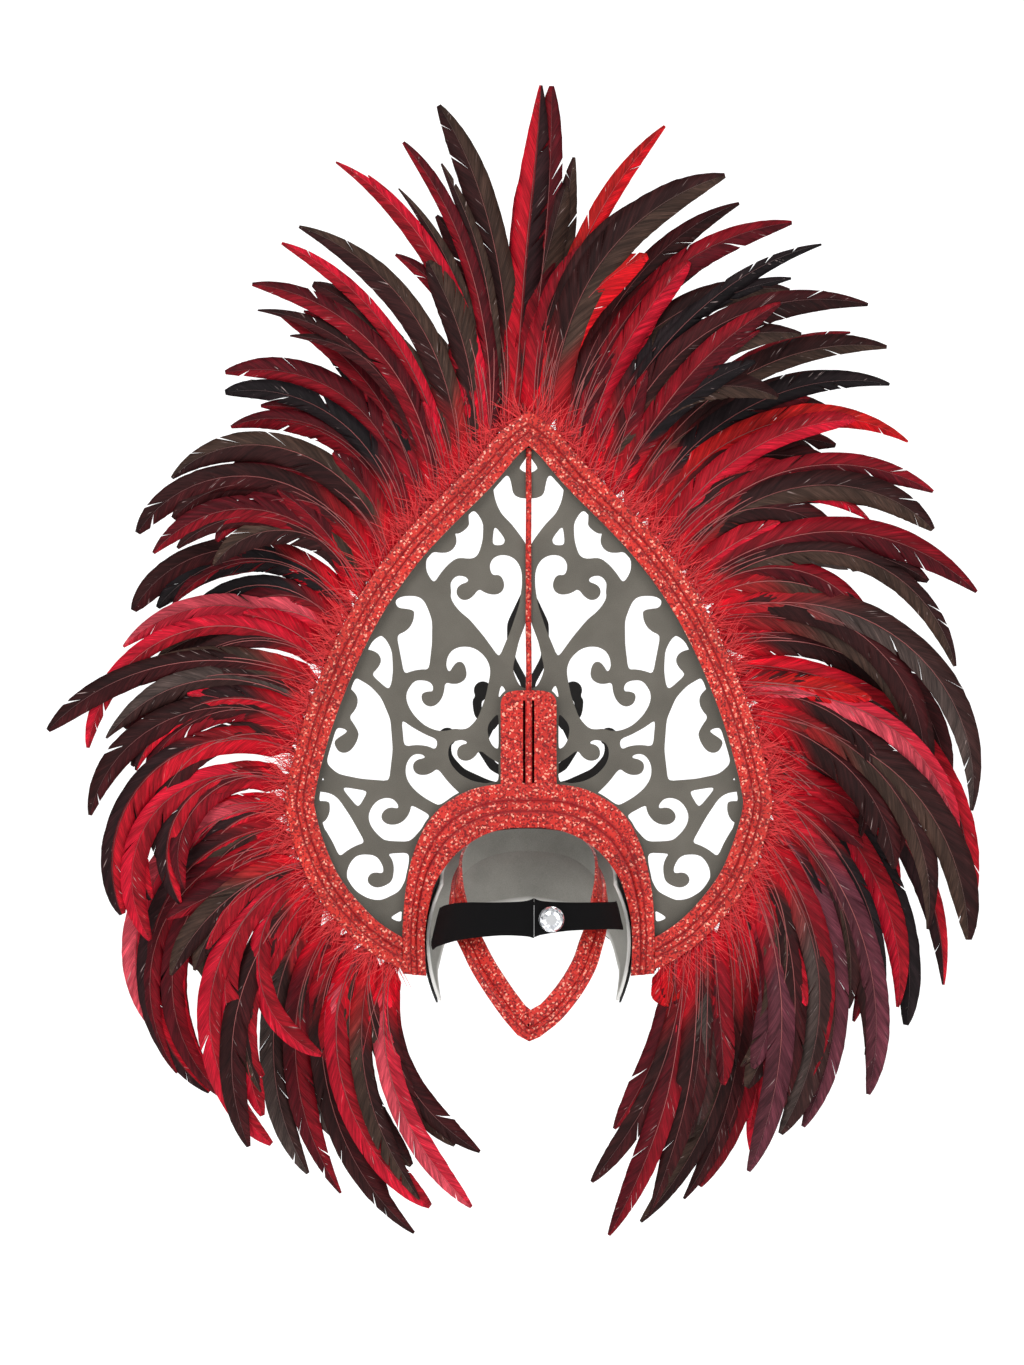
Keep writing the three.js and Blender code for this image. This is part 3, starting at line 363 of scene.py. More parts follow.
class Nodes:
    """Adds nodes to one shader tree; where one output is used, a method hands back that output."""

    tree: bpy.types.NodeTree

    def feed(self, target: bpy.types.NodeSocket, source: Source) -> None:
        """Links an input to a socket, or sets its value."""
        if isinstance(source, bpy.types.NodeSocket):
            self.tree.links.new(source, target)
        else:
            target.default_value = source

    def node(self, kind: str, **settings: object) -> bpy.types.Node:
        """Adds a node.

        Args:
            kind: node type.
            settings: properties to set, or inputs by name when not a property.

        Returns:
            The node.
        """
        node = self.tree.nodes.new(kind)
        for key, value in settings.items():
            if hasattr(node, key):
                setattr(node, key, value)
            else:
                self.feed(node.inputs[key], value)
        return node

    def ramp(self, value: bpy.types.NodeSocket, stops: Sequence[Stop]) -> bpy.types.NodeSocket:
        """Adds a colour ramp.

        Args:
            value: what it reads.
            stops: places and their colours.

        Returns:
            The colour.
        """
        node = self.node("ShaderNodeValToRGB", Fac=value)
        bar = node.color_ramp
        while len(bar.elements) < len(stops):
            bar.elements.new(0.5)
        for element, (place, colour) in zip(bar.elements, stops):
            element.position = place
            element.color = (*colour, 1.0)
        return node.outputs[0]

    def blend(self, factor: Source, first: Source, second: Source, mode: str = "MIX") -> bpy.types.NodeSocket:
        """Adds a colour mix.

        Args:
            factor: share of the second colour.
            first: colour below.
            second: colour above.
            mode: how the colours combine.

        Returns:
            The mixed colour.
        """
        node = self.node("ShaderNodeMix", data_type="RGBA", blend_type=mode, clamp_factor=True)
        for index, source in ((0, factor), (6, first), (7, second)):
            self.feed(node.inputs[index], source)
        return node.outputs[2]

    def maths(
        self, operation: str, first: Source, second: Source, clamp: bool = False
    ) -> bpy.types.NodeSocket:
        """Adds a sum of two values.

        Args:
            operation: kind of sum.
            first: first value.
            second: second value.
            clamp: whether the result is held between 0 and 1.

        Returns:
            The result.
        """
        node = self.node("ShaderNodeMath", operation=operation, use_clamp=clamp)
        self.feed(node.inputs[0], first)
        self.feed(node.inputs[1], second)
        return node.outputs[0]

    def noise(self, place: bpy.types.NodeSocket, scale: Source, detail: float) -> bpy.types.NodeSocket:
        """Noise value at a place."""
        return self.node("ShaderNodeTexNoise", Vector=place, Scale=scale, Detail=detail).outputs[0]

    def attribute(self, name: str, output: str = "Fac") -> bpy.types.NodeSocket:
        """Value or colour that the mesh carries under a name."""
        return self.node("ShaderNodeAttribute", attribute_name=name).outputs[output]


class ShaderGroup(Nodes):
    """A node group with named sockets, built once."""

    def __init__(self, name: str, inputs: dict[str, Source | None], outputs: dict[str, str]) -> None:
        """Opens the group.

        Args:
            name: the group's name.
            inputs: names with default values: None for a place, a number, or a colour.
            outputs: names with their kinds.
        """
        self.tree = bpy.data.node_groups.new(name, "ShaderNodeTree")
        for word, value in inputs.items():
            kind = "Vector" if value is None else "Float" if isinstance(value, float) else "Color"
            kind = f"NodeSocket{kind}"
            socket = self.tree.interface.new_socket(name=word, in_out="INPUT", socket_type=kind)
            if value is not None:
                socket.default_value = value
        for word, kind in outputs.items():
            self.tree.interface.new_socket(name=word, in_out="OUTPUT", socket_type=f"NodeSocket{kind}")
        self.given = self.tree.nodes.new("NodeGroupInput").outputs
        self.results = self.tree.nodes.new("NodeGroupOutput").inputs

    def hand_back(self, **results: bpy.types.NodeSocket) -> "ShaderGroup":
        """Links the group's outputs.

        Args:
            results: output name to the socket that it carries.

        Returns:
            The group itself.
        """
        for word, socket in results.items():
            self.feed(self.results[word], socket)
        return self


class Finish(Nodes):
    """Base of the finishes: a material with one Principled shader."""

    def __init__(
        self, name: str, roughness: float = 0.5, metallic: float = 0.0, fixed: dict[str, float] | None = None
    ) -> None:
        """Opens the material.

        Args:
            name: the material's name.
            roughness: constant roughness.
            metallic: constant metalness.
            fixed: further constant sockets of the shader.
        """
        self.material = bpy.data.materials.new(name)
        self.material.use_nodes = True
        self.tree = self.material.node_tree
        self.shader = self.tree.nodes["Principled BSDF"]
        for key, value in {"Roughness": roughness, "Metallic": metallic, **(fixed or {})}.items():
            self.use(key, value)

    def use(self, name: str, source: Source) -> None:
        """Feeds an input of the shader."""
        self.feed(self.shader.inputs[name], source)

    def place(self, kind: str = "Object") -> bpy.types.NodeSocket:
        """Texture coordinates of the piece."""
        return self.node("ShaderNodeTexCoord").outputs[kind]

    def group(self, shared: ShaderGroup, **values: Source) -> bpy.types.bpy_prop_collection:
        """Places a shared group with its own values.

        Args:
            shared: the group.
            values: inputs by name, with underscores for spaces.

        Returns:
            The outputs of the group's node.
        """
        node = self.node("ShaderNodeGroup", node_tree=shared.tree)
        for key, value in values.items():
            self.feed(node.inputs[key.replace("_", " ")], value)
        return node.outputs

    def bump(self, height: bpy.types.NodeSocket, distance: float, strength: float = 1.0) -> None:
        """Feeds a height to the shader's normal.

        Args:
            height: varying height from 0 to 1.
            distance: its full depth in metres.
            strength: share of the effect.
        """
        node = self.node("ShaderNodeBump", Distance=distance, Strength=strength, Height=height)
        self.use("Normal", node.outputs["Normal"])


class SharedGroups:
    """Shader effects that several finishes use."""

    def __init__(self) -> None:
        """Builds the groups."""
        self.flakes = self.make_flakes()
        self.mottle = self.make_mottle()

    @staticmethod
    def make_flakes() -> ShaderGroup:
        """Glitter flakes: a cell pattern with plain and dark cells, and pale cells painted as glints.

        Returns:
            The group, with Colour, Height and Spark outputs.
        """
        g = ShaderGroup(
            "Glitter flakes",
            {
                "Place": None, "Flake size": 0.0011, "Base": (0.6, 0.03, 0.02, 1),
                "Bright": (0.95, 0.45, 0.35, 1), "Dark": (0.16, 0.008, 0.008, 1),
            },
            {"Colour": "Color", "Height": "Float", "Spark": "Float"},
        )
        place = g.given["Place"]
        scale = g.maths("DIVIDE", 1.0, g.given["Flake size"])
        cells = g.node("ShaderNodeTexVoronoi", Vector=place, Scale=scale)
        one, two, three = g.node("ShaderNodeSeparateColor", Color=cells.outputs["Color"]).outputs
        tone = g.ramp(one, greys((0.0, 0), (0.22, 0), (0.4, 0.5), (0.78, 0.62), (0.84, 1)))
        plain = g.blend(g.maths("MULTIPLY", tone, 2.0, clamp=True), g.given["Dark"], g.given["Base"])
        # painted glints: a few cells take the Bright colour for flakes that catch the light; the Spark output
        # marks them
        spark = g.maths("GREATER_THAN", one, 0.86)
        painted_glints = g.blend(g.maths("MULTIPLY", spark, two), plain, g.given["Bright"])
        shade = g.ramp(g.noise(place, 26.0, 3.0), greys((0.3, 0.78), (0.7, 1.1)))
        return g.hand_back(Colour=g.blend(1.0, painted_glints, shade, "MULTIPLY"), Height=three, Spark=spark)

    @staticmethod
    def make_mottle() -> ShaderGroup:
        """Two noises over each other, for foam.

        Returns:
            The group, with Colour and Height outputs.
        """
        g = ShaderGroup(
            "Mottle",
            {
                "Place": None, "Cloud scale": 30.0, "Grain scale": 1400.0,
                "Light": (0.2, 0.2, 0.2, 1), "Dark": (0.1, 0.1, 0.1, 1),
            },
            {"Colour": "Color", "Height": "Float"},
        )
        cloud = g.noise(g.given["Place"], g.given["Cloud scale"], 4.0)
        grain = g.noise(g.given["Place"], g.given["Grain scale"], 2.0)
        both = g.maths("ADD", cloud, grain)
        share = g.node("ShaderNodeMapRange", Value=both, **{"From Min": 0.75, "From Max": 1.25}).outputs[0]
        return g.hand_back(Colour=g.blend(share, g.given["Dark"], g.given["Light"]), Height=grain)


class GlitterFinish(Finish):
    """Coral-red glitter sheet: pale painted glints, dark specks, whitish cut edges, painted shade in grooves.
    """

    def __init__(self, shared: SharedGroups) -> None:
        """Builds the material.

        Args:
            shared: the shader groups.
        """
        super().__init__("Red glitter", roughness=0.42, fixed={"Specular IOR Level": 0.3})
        flakes = self.group(
            shared.flakes,
            Place=self.place(),
            Flake_size=0.0015,
            Base=(0.56, 0.022, 0.014, 1),
            # painted glints: colour of the flakes that stand in for glints
            Bright=(1.0, 0.42, 0.3, 1),
            Dark=(0.2, 0.004, 0.005, 1),
        )
        edged = self.blend(self.attribute("edge"), flakes["Colour"], (0.6, 0.3, 0.27, 1))
        # painted shade: the grooves beside the rib, and the rib's flanks partway up, are darkened to a deep
        # red
        self.use("Base Color", self.blend(self.attribute("groove_shade"), edged, (0.24, 0.004, 0.008, 1)))
        shine = self.node("ShaderNodeMapRange", Value=flakes["Spark"], **{"To Min": 0.5, "To Max": 0.18})
        self.use("Roughness", shine.outputs[0])
        self.bump(flakes["Height"], 0.0003, 0.6)


@dataclass(frozen=True)
class FoamTone:
    """Colours of one foam sheet, linear."""

    name: str
    light: tuple[float, float, float]
    dark: tuple[float, float, float]
    cut_edge: tuple[float, float, float]
    roughness: float = 0.8


class FoamFinish(Finish):
    """Craft foam: a fine grain, broad cloudiness and a paler cut edge."""

    def __init__(self, tone: FoamTone, shared: SharedGroups) -> None:
        """Builds the material.

        Args:
            tone: the foam's colours.
            shared: the shader groups.
        """
        super().__init__(tone.name, roughness=tone.roughness)
        mottle = self.group(
            shared.mottle,
            Place=self.place(),
            Cloud_scale=24.0,
            Grain_scale=1600.0,
            Light=(*tone.light, 1),
            Dark=(*tone.dark, 1),
        )
        self.use("Base Color", self.blend(self.attribute("edge"), mottle["Colour"], (*tone.cut_edge, 1)))
        self.bump(mottle["Height"], 0.0002, 0.5)


class ElasticFinish(Finish):
    """Black ribbed elastic, woven in fine rows that follow the strap."""

    def __init__(self) -> None:
        """Builds the material."""
        super().__init__("Black elastic", roughness=0.9, fixed={"Specular IOR Level": 0.15})
        spread = self.node("ShaderNodeMapping", Vector=self.place("UV"), Scale=(220.0, 170.0, 1.0)).outputs[0]
        rows, picks = (
            self.node(
                "ShaderNodeTexWave", Vector=spread, Scale=1.0, Distortion=0.0, bands_direction=way
            ).outputs["Fac"]
            for way in "YX"
        )
        weave = self.maths("MULTIPLY", rows, picks)
        stops = [(0.0, (0.0015, 0.0015, 0.0018)), (1.0, (0.009, 0.008, 0.009))]
        self.use("Base Color", self.ramp(weave, stops))
        self.bump(weave, 0.0004, 0.9)


class CrystalFinish(Finish):
    """Silver-backed cut stone: every cut face takes its own random grey, a painted reflection."""

    def __init__(self) -> None:
        """Builds the material."""
        super().__init__("Cut stone", roughness=0.06, metallic=0.75, fixed={"Coat Weight": 0.8})
        stops = [(0.0, (0.3, 0.31, 0.34)), (0.5, (0.68, 0.7, 0.73)), (1.0, (0.98, 0.98, 1.0))]
        self.use("Base Color", self.ramp(self.attribute("facet_reflection"), stops))


class VaneFinish(Finish):
    """Dyed feather vane: painted tint, barb streaks with partly painted highlights, fine ridges and pale
    nicks.
    """

    def __init__(self) -> None:
        """Builds the material."""
        super().__init__("Feather vane", roughness=0.55, fixed={"Specular IOR Level": 0.1})
        uv = self.place("UV")
        fine = self.streak(uv, (110.0, 1.6, 1.0), 3.0)
        broad = self.streak(uv, (26.0, 0.8, 1.0), 2.0)
        # barb grain; its brightest streaks, up to nearly twice the tint, are partly painted highlights
        thin = self.ramp(fine, [(0.25, (0.4, 0.4, 0.4)), (0.6, (1.3, 1.25, 1.25)), (0.75, (1.9, 1.9, 1.9))])
        wide = self.ramp(broad, [(0.3, (0.62, 0.62, 0.62)), (0.7, (1.3, 1.25, 1.25))])
        streaked = self.blend(1.0, self.attribute("tint", "Color"), thin, "MULTIPLY")
        streaked = self.blend(1.0, streaked, wide, "MULTIPLY")
        nicks = self.ramp(self.streak(uv, (60.0, 0.6, 1.0), 1.0, 7.3), greys((0.70, 0), (0.78, 1)))
        patches = self.ramp(self.streak(uv, (2.2, 2.0, 1.0), 1.0, 3.1), greys((0.52, 0), (0.64, 0.85)))
        worn = self.maths("MULTIPLY", nicks, patches)
        self.use("Base Color", self.blend(worn, streaked, (0.55, 0.42, 0.4, 1)))
        self.bump(fine, 0.0004, 0.55)

    def streak(
        self, uv: bpy.types.NodeSocket, scale: tuple[float, float, float], detail: float, shift: float = 0.0
    ) -> bpy.types.NodeSocket:
        """Noise drawn out along the barbs.

        Args:
            uv: the vane's coordinates, along the shaft and outwards.
            scale: frequency along the shaft and outwards.
            detail: octaves.
            shift: moves the pattern.

        Returns:
            The noise value.
        """
        spread = self.node("ShaderNodeMapping", Vector=uv, Scale=scale, Location=(shift, shift, shift))
        return self.noise(spread.outputs[0], 1.0, detail)


class ShaftFinish(Finish):
    """Quill: pale pinkish horn, redder towards the root."""

    def __init__(self) -> None:
        """Builds the material."""
        super().__init__("Feather shaft", roughness=0.38)
        shade = self.ramp(self.noise(self.place(), 120.0, 2.0), greys((0.3, 0.8), (0.7, 1.1)))
        self.use("Base Color", self.blend(1.0, self.attribute("tint", "Color"), shade, "MULTIPLY"))


class DownFinish(Finish):
    """Bright red down filaments."""

    def __init__(self) -> None:
        """Builds the material."""
        super().__init__("Red down", roughness=0.7, fixed={"Sheen Weight": 0.3})
        stops = [(0.3, (0.42, 0.006, 0.01)), (0.7, (0.85, 0.03, 0.035))]
        self.use("Base Color", self.ramp(self.noise(self.place(), 220.0, 2.0), stops))


# Feathers.


class Side(Enum):
    """The two sides of the picture."""

    LEFT = -1
    RIGHT = 1

    @property
    def word(self) -> str:
        """Name used in the pieces' names."""
        return self.name.lower()


@dataclass(frozen=True)
class FeatherTone:
    """Linear colours of a feather's two halves and how worn it is."""

    near: tuple[float, float, float]
    far: tuple[float, float, float]
    frayed: float = 0.3


class Tone(Enum):
    """The dye lots seen in the fans."""

    D = FeatherTone((0.020, 0.005, 0.005), (0.036, 0.005, 0.006))
    B = FeatherTone((0.040, 0.023, 0.017), (0.022, 0.006, 0.006))
    K = FeatherTone((0.007, 0.005, 0.006), (0.010, 0.006, 0.007), 1.0)
    M = FeatherTone((0.06, 0.003, 0.006), (0.15, 0.003, 0.008))
    C = FeatherTone((0.40, 0.006, 0.020), (0.22, 0.004, 0.010))
    R = FeatherTone((0.42, 0.004, 0.008), (0.30, 0.006, 0.006))
    P = FeatherTone((0.44, 0.050, 0.070), (0.40, 0.014, 0.030))
    V = FeatherTone((0.060, 0.016, 0.022), (0.085, 0.020, 0.030))
    G = FeatherTone((0.050, 0.036, 0.032), (0.030, 0.012, 0.011), 0.6)
    O = FeatherTone((0.034, 0.026, 0.018), (0.13, 0.005, 0.007))
    E = FeatherTone((0.018, 0.006, 0.007), (0.36, 0.005, 0.014))


BASE_RED = (0.62, 0.001, 0.012)
BASE_MAROON = (0.11, 0.001, 0.005)
LEFT_TONES = "PBCDMGDCBMEPCEDGDCPKDMDBKMMMCBBCMBEM"
RIGHT_TONES = "RMDGBMCVDGVVKCKEBPREDDGBMBMCRKBMDKCMDBOR"
FanRow = tuple[float, float, float, float, float]

# Columns: place on the rim, first direction, curl, share of length, share of width.
LEFT_FANS: tuple[tuple[FanRow, ...], ...] = (
    ((0.055, -72, 65, 0.84, 0.88), (0.08, -68, 58, 0.81, 0.8), (0.1, -52, 95, 0.93, 1)),
    ((0.125, -52, 91, 1.05, 1), (0.155, -50, 75, 0.93, 1), (0.18, -42, 82, 0.92, 0.95)),
    ((0.21, -34, 80, 0.87, 0.95), (0.225, -14, 130, 1, 0.88), (0.245, -8, 62, 0.55, 0.95)),
    ((0.27, 2, 150, 1.08, 0.95), (0.295, 5, 150, 1.14, 1), (0.32, 12, 143, 1.03, 0.95)),
    ((0.35, 34, 160, 0.87, 0.9), (0.405, 30, 146, 0.95, 1), (0.435, 38, 120, 0.83, 0.95)),
    ((0.47, 35, 88, 0.71, 0.95), (0.505, 28, 77, 0.91, 0.88), (0.53, 44, 130, 0.97, 0.7)),
    ((0.55, 48, 95, 0.74, 0.95), (0.58, 62, 160, 0.76, 0.88), (0.617, 58, 122, 0.84, 0.95)),
    ((0.645, 67, 120, 0.79, 0.95), (0.675, 72, 134, 0.92, 0.95), (0.705, 80, 130, 0.86, 1.1)),
    ((0.735, 86, 100, 0.82, 0.8), (0.755, 86, 100, 0.88, 0.95), (0.776, 84, 62, 0.82, 0.95)),
    ((0.808, 88, 85, 0.96, 0.8), (0.835, 83, 61, 0.96, 0.6), (0.855, 89, 71, 0.99, 1)),
    ((0.888, 89, 28, 0.66, 1.1), (0.903, 92, 66, 1.07, 0.75), (0.912, 95, 47, 1.02, 0.6)),
    ((0.947, 96, 40, 1.07, 1.15), (0.962, 97, 5, 1.08, 1.15), (0.98, 99, 9, 1.06, 1.1)),
)
RIGHT_FANS: tuple[tuple[FanRow, ...], ...] = (
    (
        (0.064, -92, 5, 0.16, 1.1), (0.085, -87, 33, 0.9, 0.95), (0.11, -86, 26, 0.85, 0.95),
        (0.127, -82, 19, 0.59, 0.9),
    ),
    ((0.158, -70, 64, 1.03, 0.9), (0.18, -67, 54, 0.92, 1), (0.199, -68, 35, 0.75, 0.85)),
    ((0.233, -62, 54, 0.94, 0.95), (0.25, -52, 73, 0.93, 0.95), (0.279, -48, 74, 0.96, 1)),
    ((0.315, -46, 73, 1.02, 0.95), (0.335, -35, 71, 1, 0.88), (0.354, -28, 82, 0.95, 0.6)),
    ((0.385, -19, 82, 0.92, 0.95), (0.41, -21, 81, 1.05, 0.88), (0.435, -13, 80, 1.07, 0.88)),
    ((0.465, -3, 88, 1.05, 1.15), (0.49, 12, 92, 0.86, 0.88), (0.515, 0, 15, 0.42, 0.9)),
    ((0.54, 2, 105, 1.27, 1), (0.565, 15, 79, 0.76, 0.95), (0.59, 18, 109, 1.01, 0.95)),
    ((0.615, 20, 121, 1.21, 1.1), (0.64, 42, 122, 1, 0.8), (0.66, 38, 84, 0.97, 1.2)),
    ((0.685, 60, 110, 0.92, 1.1), (0.71, 53, 85, 0.93, 0.95), (0.73, 61, 61, 0.76, 0.88)),
    ((0.755, 66, 103, 0.98, 0.95), (0.775, 65, 80, 0.97, 0.88), (0.8, 67, 78, 1.04, 1)),
    ((0.825, 68, 42, 0.79, 0.95), (0.85, 72, 87, 1.08, 1.1), (0.87, 72, 62, 1.03, 0.65)),
    ((0.89, 76, 32, 0.73, 0.88), (0.91, 78, 73, 1.07, 1), (0.924, 82, 64, 0.98, 0.95)),
    ((0.956, 86, 72, 1.01, 1.3), (0.968, 90, 43, 0.65, 1), (0.98, 83, 39, 1, 0.72)),
)
FAN_LAYERS = (0, 2, -2, 1, -1)


@dataclass
class Feather:
    """One feather: its path over the panel, its vane and its shaft."""

    side: Side
    at: float
    aim: float
    curl: float
    long: float
    wide: float
    tone: FeatherTone
    depth: Callable[[float], float]
    seed: int
    tip: float = 2.6
    rows: int = 54
    half_columns: int = 3
    full_length: float = 300.0
    full_width: float = 25.0
    root_inset: float = 6.0
    red_until: float = 0.3
    base_tone: tuple[float, float, float] = BASE_RED
    spots: list[Vector] = field(default_factory=list)
    ways: list[Vector] = field(default_factory=list)

    STEPS = 60

    def __post_init__(self) -> None:
        """Walks the path once and draws the feather's chance values."""
        self.chance = random.Random(self.seed)
        self.length = self.long * self.full_length
        self.width = self.wide * self.full_width
        bend = lerp(0.75, 1.3, self.at)
        side = self.side.value
        point, along = SPADE_HALF.at(self.at), SPADE_HALF.along(self.at)
        x = side * (point.x - along.y * self.root_inset)
        z = point.y + along.x * self.root_inset
        wave = self.chance.uniform(-2.5, 2.5)
        for i in range(int(self.STEPS * 1.08) + 1):
            share = i / self.STEPS
            heading = math.radians(self.aim - self.curl * share**bend + wave * math.sin(share * 6.3))
            self.spots.append(Vector((x, self.depth(share * self.length), z)))
            self.ways.append(Vector((side * math.cos(heading), 0, math.sin(heading))))
            x += side * math.cos(heading) * self.length / self.STEPS
            z += math.sin(heading) * self.length / self.STEPS
        self.cup = math.tan(math.radians(self.chance.uniform(8, 20)))
        self.twist = math.radians(self.chance.uniform(-16, 16))
        self.near_share = self.chance.uniform(0.42, 0.58)
        pale = self.chance.uniform(0.25, 1.0)
        self.shaft_tone = tuple(lerp(a, b, pale) for a, b in zip((0.10, 0.008, 0.010), (0.36, 0.09, 0.085)))
        self.red_reach = self.red_until * self.chance.uniform(0.35, 1.35)
        vivid = self.chance.uniform(0.3, 1.0)
        self.bluntness = self.tip * self.chance.uniform(0.5, 1.0)
        self.root_tone = tuple(lerp(a, b, vivid) for a, b in zip(BASE_MAROON, self.base_tone))

    def spot(self, share: float) -> tuple[Vector, Vector]:
        """Middle of the shaft and the direction across it.

        Args:
            share: 0 at the root, 1 at the tip.

        Returns:
            Place in mm and unit vector across, in the panel's plane.
        """
        place = min(max(share, 0.0) * self.STEPS, len(self.spots) - 1.001)
        i = int(place)
        w = place - i
        spot = self.spots[i].lerp(self.spots[i + 1], w)
        way = self.ways[i].lerp(self.ways[i + 1], w).normalized()
        return spot, Vector((-way.z, 0, way.x))

    def profile(self, share: float) -> float:
        """Half width of the vane as a share of the full half width."""
        grow = lerp(0.9, 1.0, smoothstep(share, 0.0, 0.22))
        fade = max(0.0, (share - 0.66) / 0.34)
        return grow * max(0.0, 1 - min(fade, 1.0) ** self.bluntness) ** 0.85

    def vane(self, bm: bmesh.types.BMesh, uv_name: str, tint_name: str) -> None:
        """Adds the two-sided web of barbs.

        Args:
            bm: mesh that takes it, in metres.
            uv_name: name of the UV layer.
            tint_name: name of the colour layer.
        """
        chance = self.chance
        splits = self.splits()
        starts = self.parted_grid(bm, splits)
        tints = bm.verts.layers.float_color[tint_name]
        uvs = bm.loops.layers.uv[uv_name]
        across_phase = chance.uniform(0, 50)
        barb_tones = [chance.uniform(0.68, 1.28) for _ in range(self.rows + 1)]
        edge_noise = chance.uniform(0, 100)
        shifts = {v: self.pull(v, i, j, splits) for v, (i, j) in starts.items()}
        for v, (i, j) in starts.items():
            out = self.reach_out(j)
            reach = abs(out)
            root = lerp(0.02, 0.985, i / self.rows)
            lean = 1.35 * self.width * 0.5 * self.profile(min(1.0, root + 0.04)) / self.length * 1.3
            lean = min(lean, (1.0 - root) * 0.9)
            half = self.width * (self.near_share if out < 0 else 1 - self.near_share)
            edge_share = root + lean
            half *= self.profile(edge_share)
            ragged = 1 + 0.05 * noise.noise(Vector((i * 0.9, out * 2, edge_noise)))
            share = root + lean * reach**0.9 + shifts[v] * max(0.0, reach - 0.25) / 0.75 / self.length
            spot, across = self.spot(share)
            twist = self.twist * share
            flat = across * math.cos(twist) + Vector((0, math.sin(twist), 0))
            offset = flat * out * half * ragged
            ripple = noise.noise(Vector((i * 0.35, out * 3, edge_noise)))
            offset.y += self.cup * reach * half * 0.6 + 0.5 * ripple
            v.co = (spot + offset) * MM
            v[tints] = (*self.colour(root, out, barb_tones[i]), 1.0)
        for face in {face for v in starts for face in v.link_faces}:
            for loop in face.loops:
                a, b = starts[loop.vert]
                out = self.reach_out(b)
                along = across_phase + a / self.rows * self.length / 100
                loop[uvs].uv = (along, abs(out) + (0 if out < 0 else 3) + across_phase)

    def parted_grid(
        self, bm: bmesh.types.BMesh, splits: dict[int, tuple[int, float]]
    ) -> dict[bmesh.types.BMVert, tuple[int, int]]:
        """Adds the vane's flat grid, cut open where barbs have come apart.

        Args:
            bm: mesh that takes it.
            splits: rows that are cut, as splits() gives them.

        Returns:
            The row and column of each vertex.
        """
        made = grid_verts(bm, self.rows, 2 * self.half_columns)
        starts = {v: (i, j) for i, line in enumerate(made) for j, v in enumerate(line)}
        cut = [e for row, (half, _) in splits.items() for e in self.cross_edges(made, row, half)]
        if not cut:
            return starts
        index = {v.co.to_tuple(5): ij for v, ij in starts.items()}
        faces = {f for v in starts for f in v.link_faces}
        bmesh.ops.split_edges(bm, edges=cut)
        return {v: index[v.co.to_tuple(5)] for f in faces for v in f.verts}

    def pull(
        self, v: bmesh.types.BMVert, row: int, column: int, splits: dict[int, tuple[int, float]]
    ) -> float:
        """How far the splits nearby move a barb along the shaft, while the grid is still flat.

        Args:
            v: the vertex.
            row: its row.
            column: its column.
            splits: rows that are cut.

        Returns:
            The move in mm, towards the tip.
        """
        sign = -1 if column < self.half_columns else 1
        middle = sum(f.calc_center_median().x for f in v.link_faces) / len(v.link_faces)
        pull = 0.0
        for cut, (half, size) in splits.items():
            if half == sign and abs(row - cut) <= 4:
                before = middle < 2 * row / self.rows - 1 if row == cut else row < cut
                pull += (-size if before else size) * 0.55 ** abs(row - cut)
        return pull

    def reach_out(self, column: int) -> float:
        """Place of a column, from -1 at the near edge over 0 at the shaft to 1; closer by the shaft."""
        t = (column - self.half_columns) / self.half_columns
        return math.copysign(abs(t) ** 1.8, t)

    def splits(self) -> dict[int, tuple[int, float]]:
        """Rows where neighbouring barbs have come apart.

        Returns:
            Row to which half it is on and how far it opens at the edge, in mm.
        """
        chance = self.chance
        found: dict[int, tuple[int, float]] = {}
        for _ in range(chance.randint(2, 5) + int(8 * self.tone.frayed * self.long)):
            row = chance.randint(int(self.rows * 0.12), int(self.rows * 0.92))
            if any(abs(row - other) < 3 for other in found):
                continue
            size = chance.choice((0.4, 0.6, 0.9, 1.3, 2.2)) * (1.6 if self.tone.frayed > 0.8 else 1.0)
            found[row] = (chance.choice((-1, 1)), size)
        return found

    def cross_edges(
        self, made: list[list[bmesh.types.BMVert]], row: int, sign: int
    ) -> list[bmesh.types.BMEdge]:
        """Edges of one row on one half, without the one at the shaft.

        Args:
            made: grid vertices by place.
            row: the row.
            sign: which half.

        Returns:
            The edges.
        """
        columns = self.half_columns
        span = range(0, columns - 1) if sign < 0 else range(columns + 1, 2 * columns)
        edges = []
        for j in span:
            a, b = made[row][j], made[row][j + 1]
            edges.extend(e for e in a.link_edges if e.other_vert(a) is b)
        return edges

    def colour(self, share: float, out: float, barb: float) -> tuple[float, float, float]:
        """Dye at one place on the vane, with painted sheen towards its edges.

        Args:
            share: 0 at the root, 1 at the tip.
            out: -1 at the near edge, 0 at the shaft, 1 at the far edge.
            barb: brightness of this barb.

        Returns:
            Linear colour.
        """
        drift = 0.06 * noise.noise(Vector((share * 9, out, self.seed)))
        aged = smoothstep(share + drift, 0.02, self.red_reach)
        halfway = smoothstep(out, -0.05, 0.05)
        body = [lerp(a, b, halfway) for a, b in zip(self.tone.near, self.tone.far)]
        patch = 1 + 0.35 * noise.noise(Vector((share * 5, out * 0.8, self.seed * 0.37)))
        # partly the redder dyed edges, partly painted sheen: the vane is brighter towards its edges
        rim = 1 + 0.25 * abs(out) ** 3
        return tuple(
            max(0.0, lerp(base * 0.9, dye * rim, aged) * barb * patch)
            for base, dye in zip(self.root_tone, body)
        )

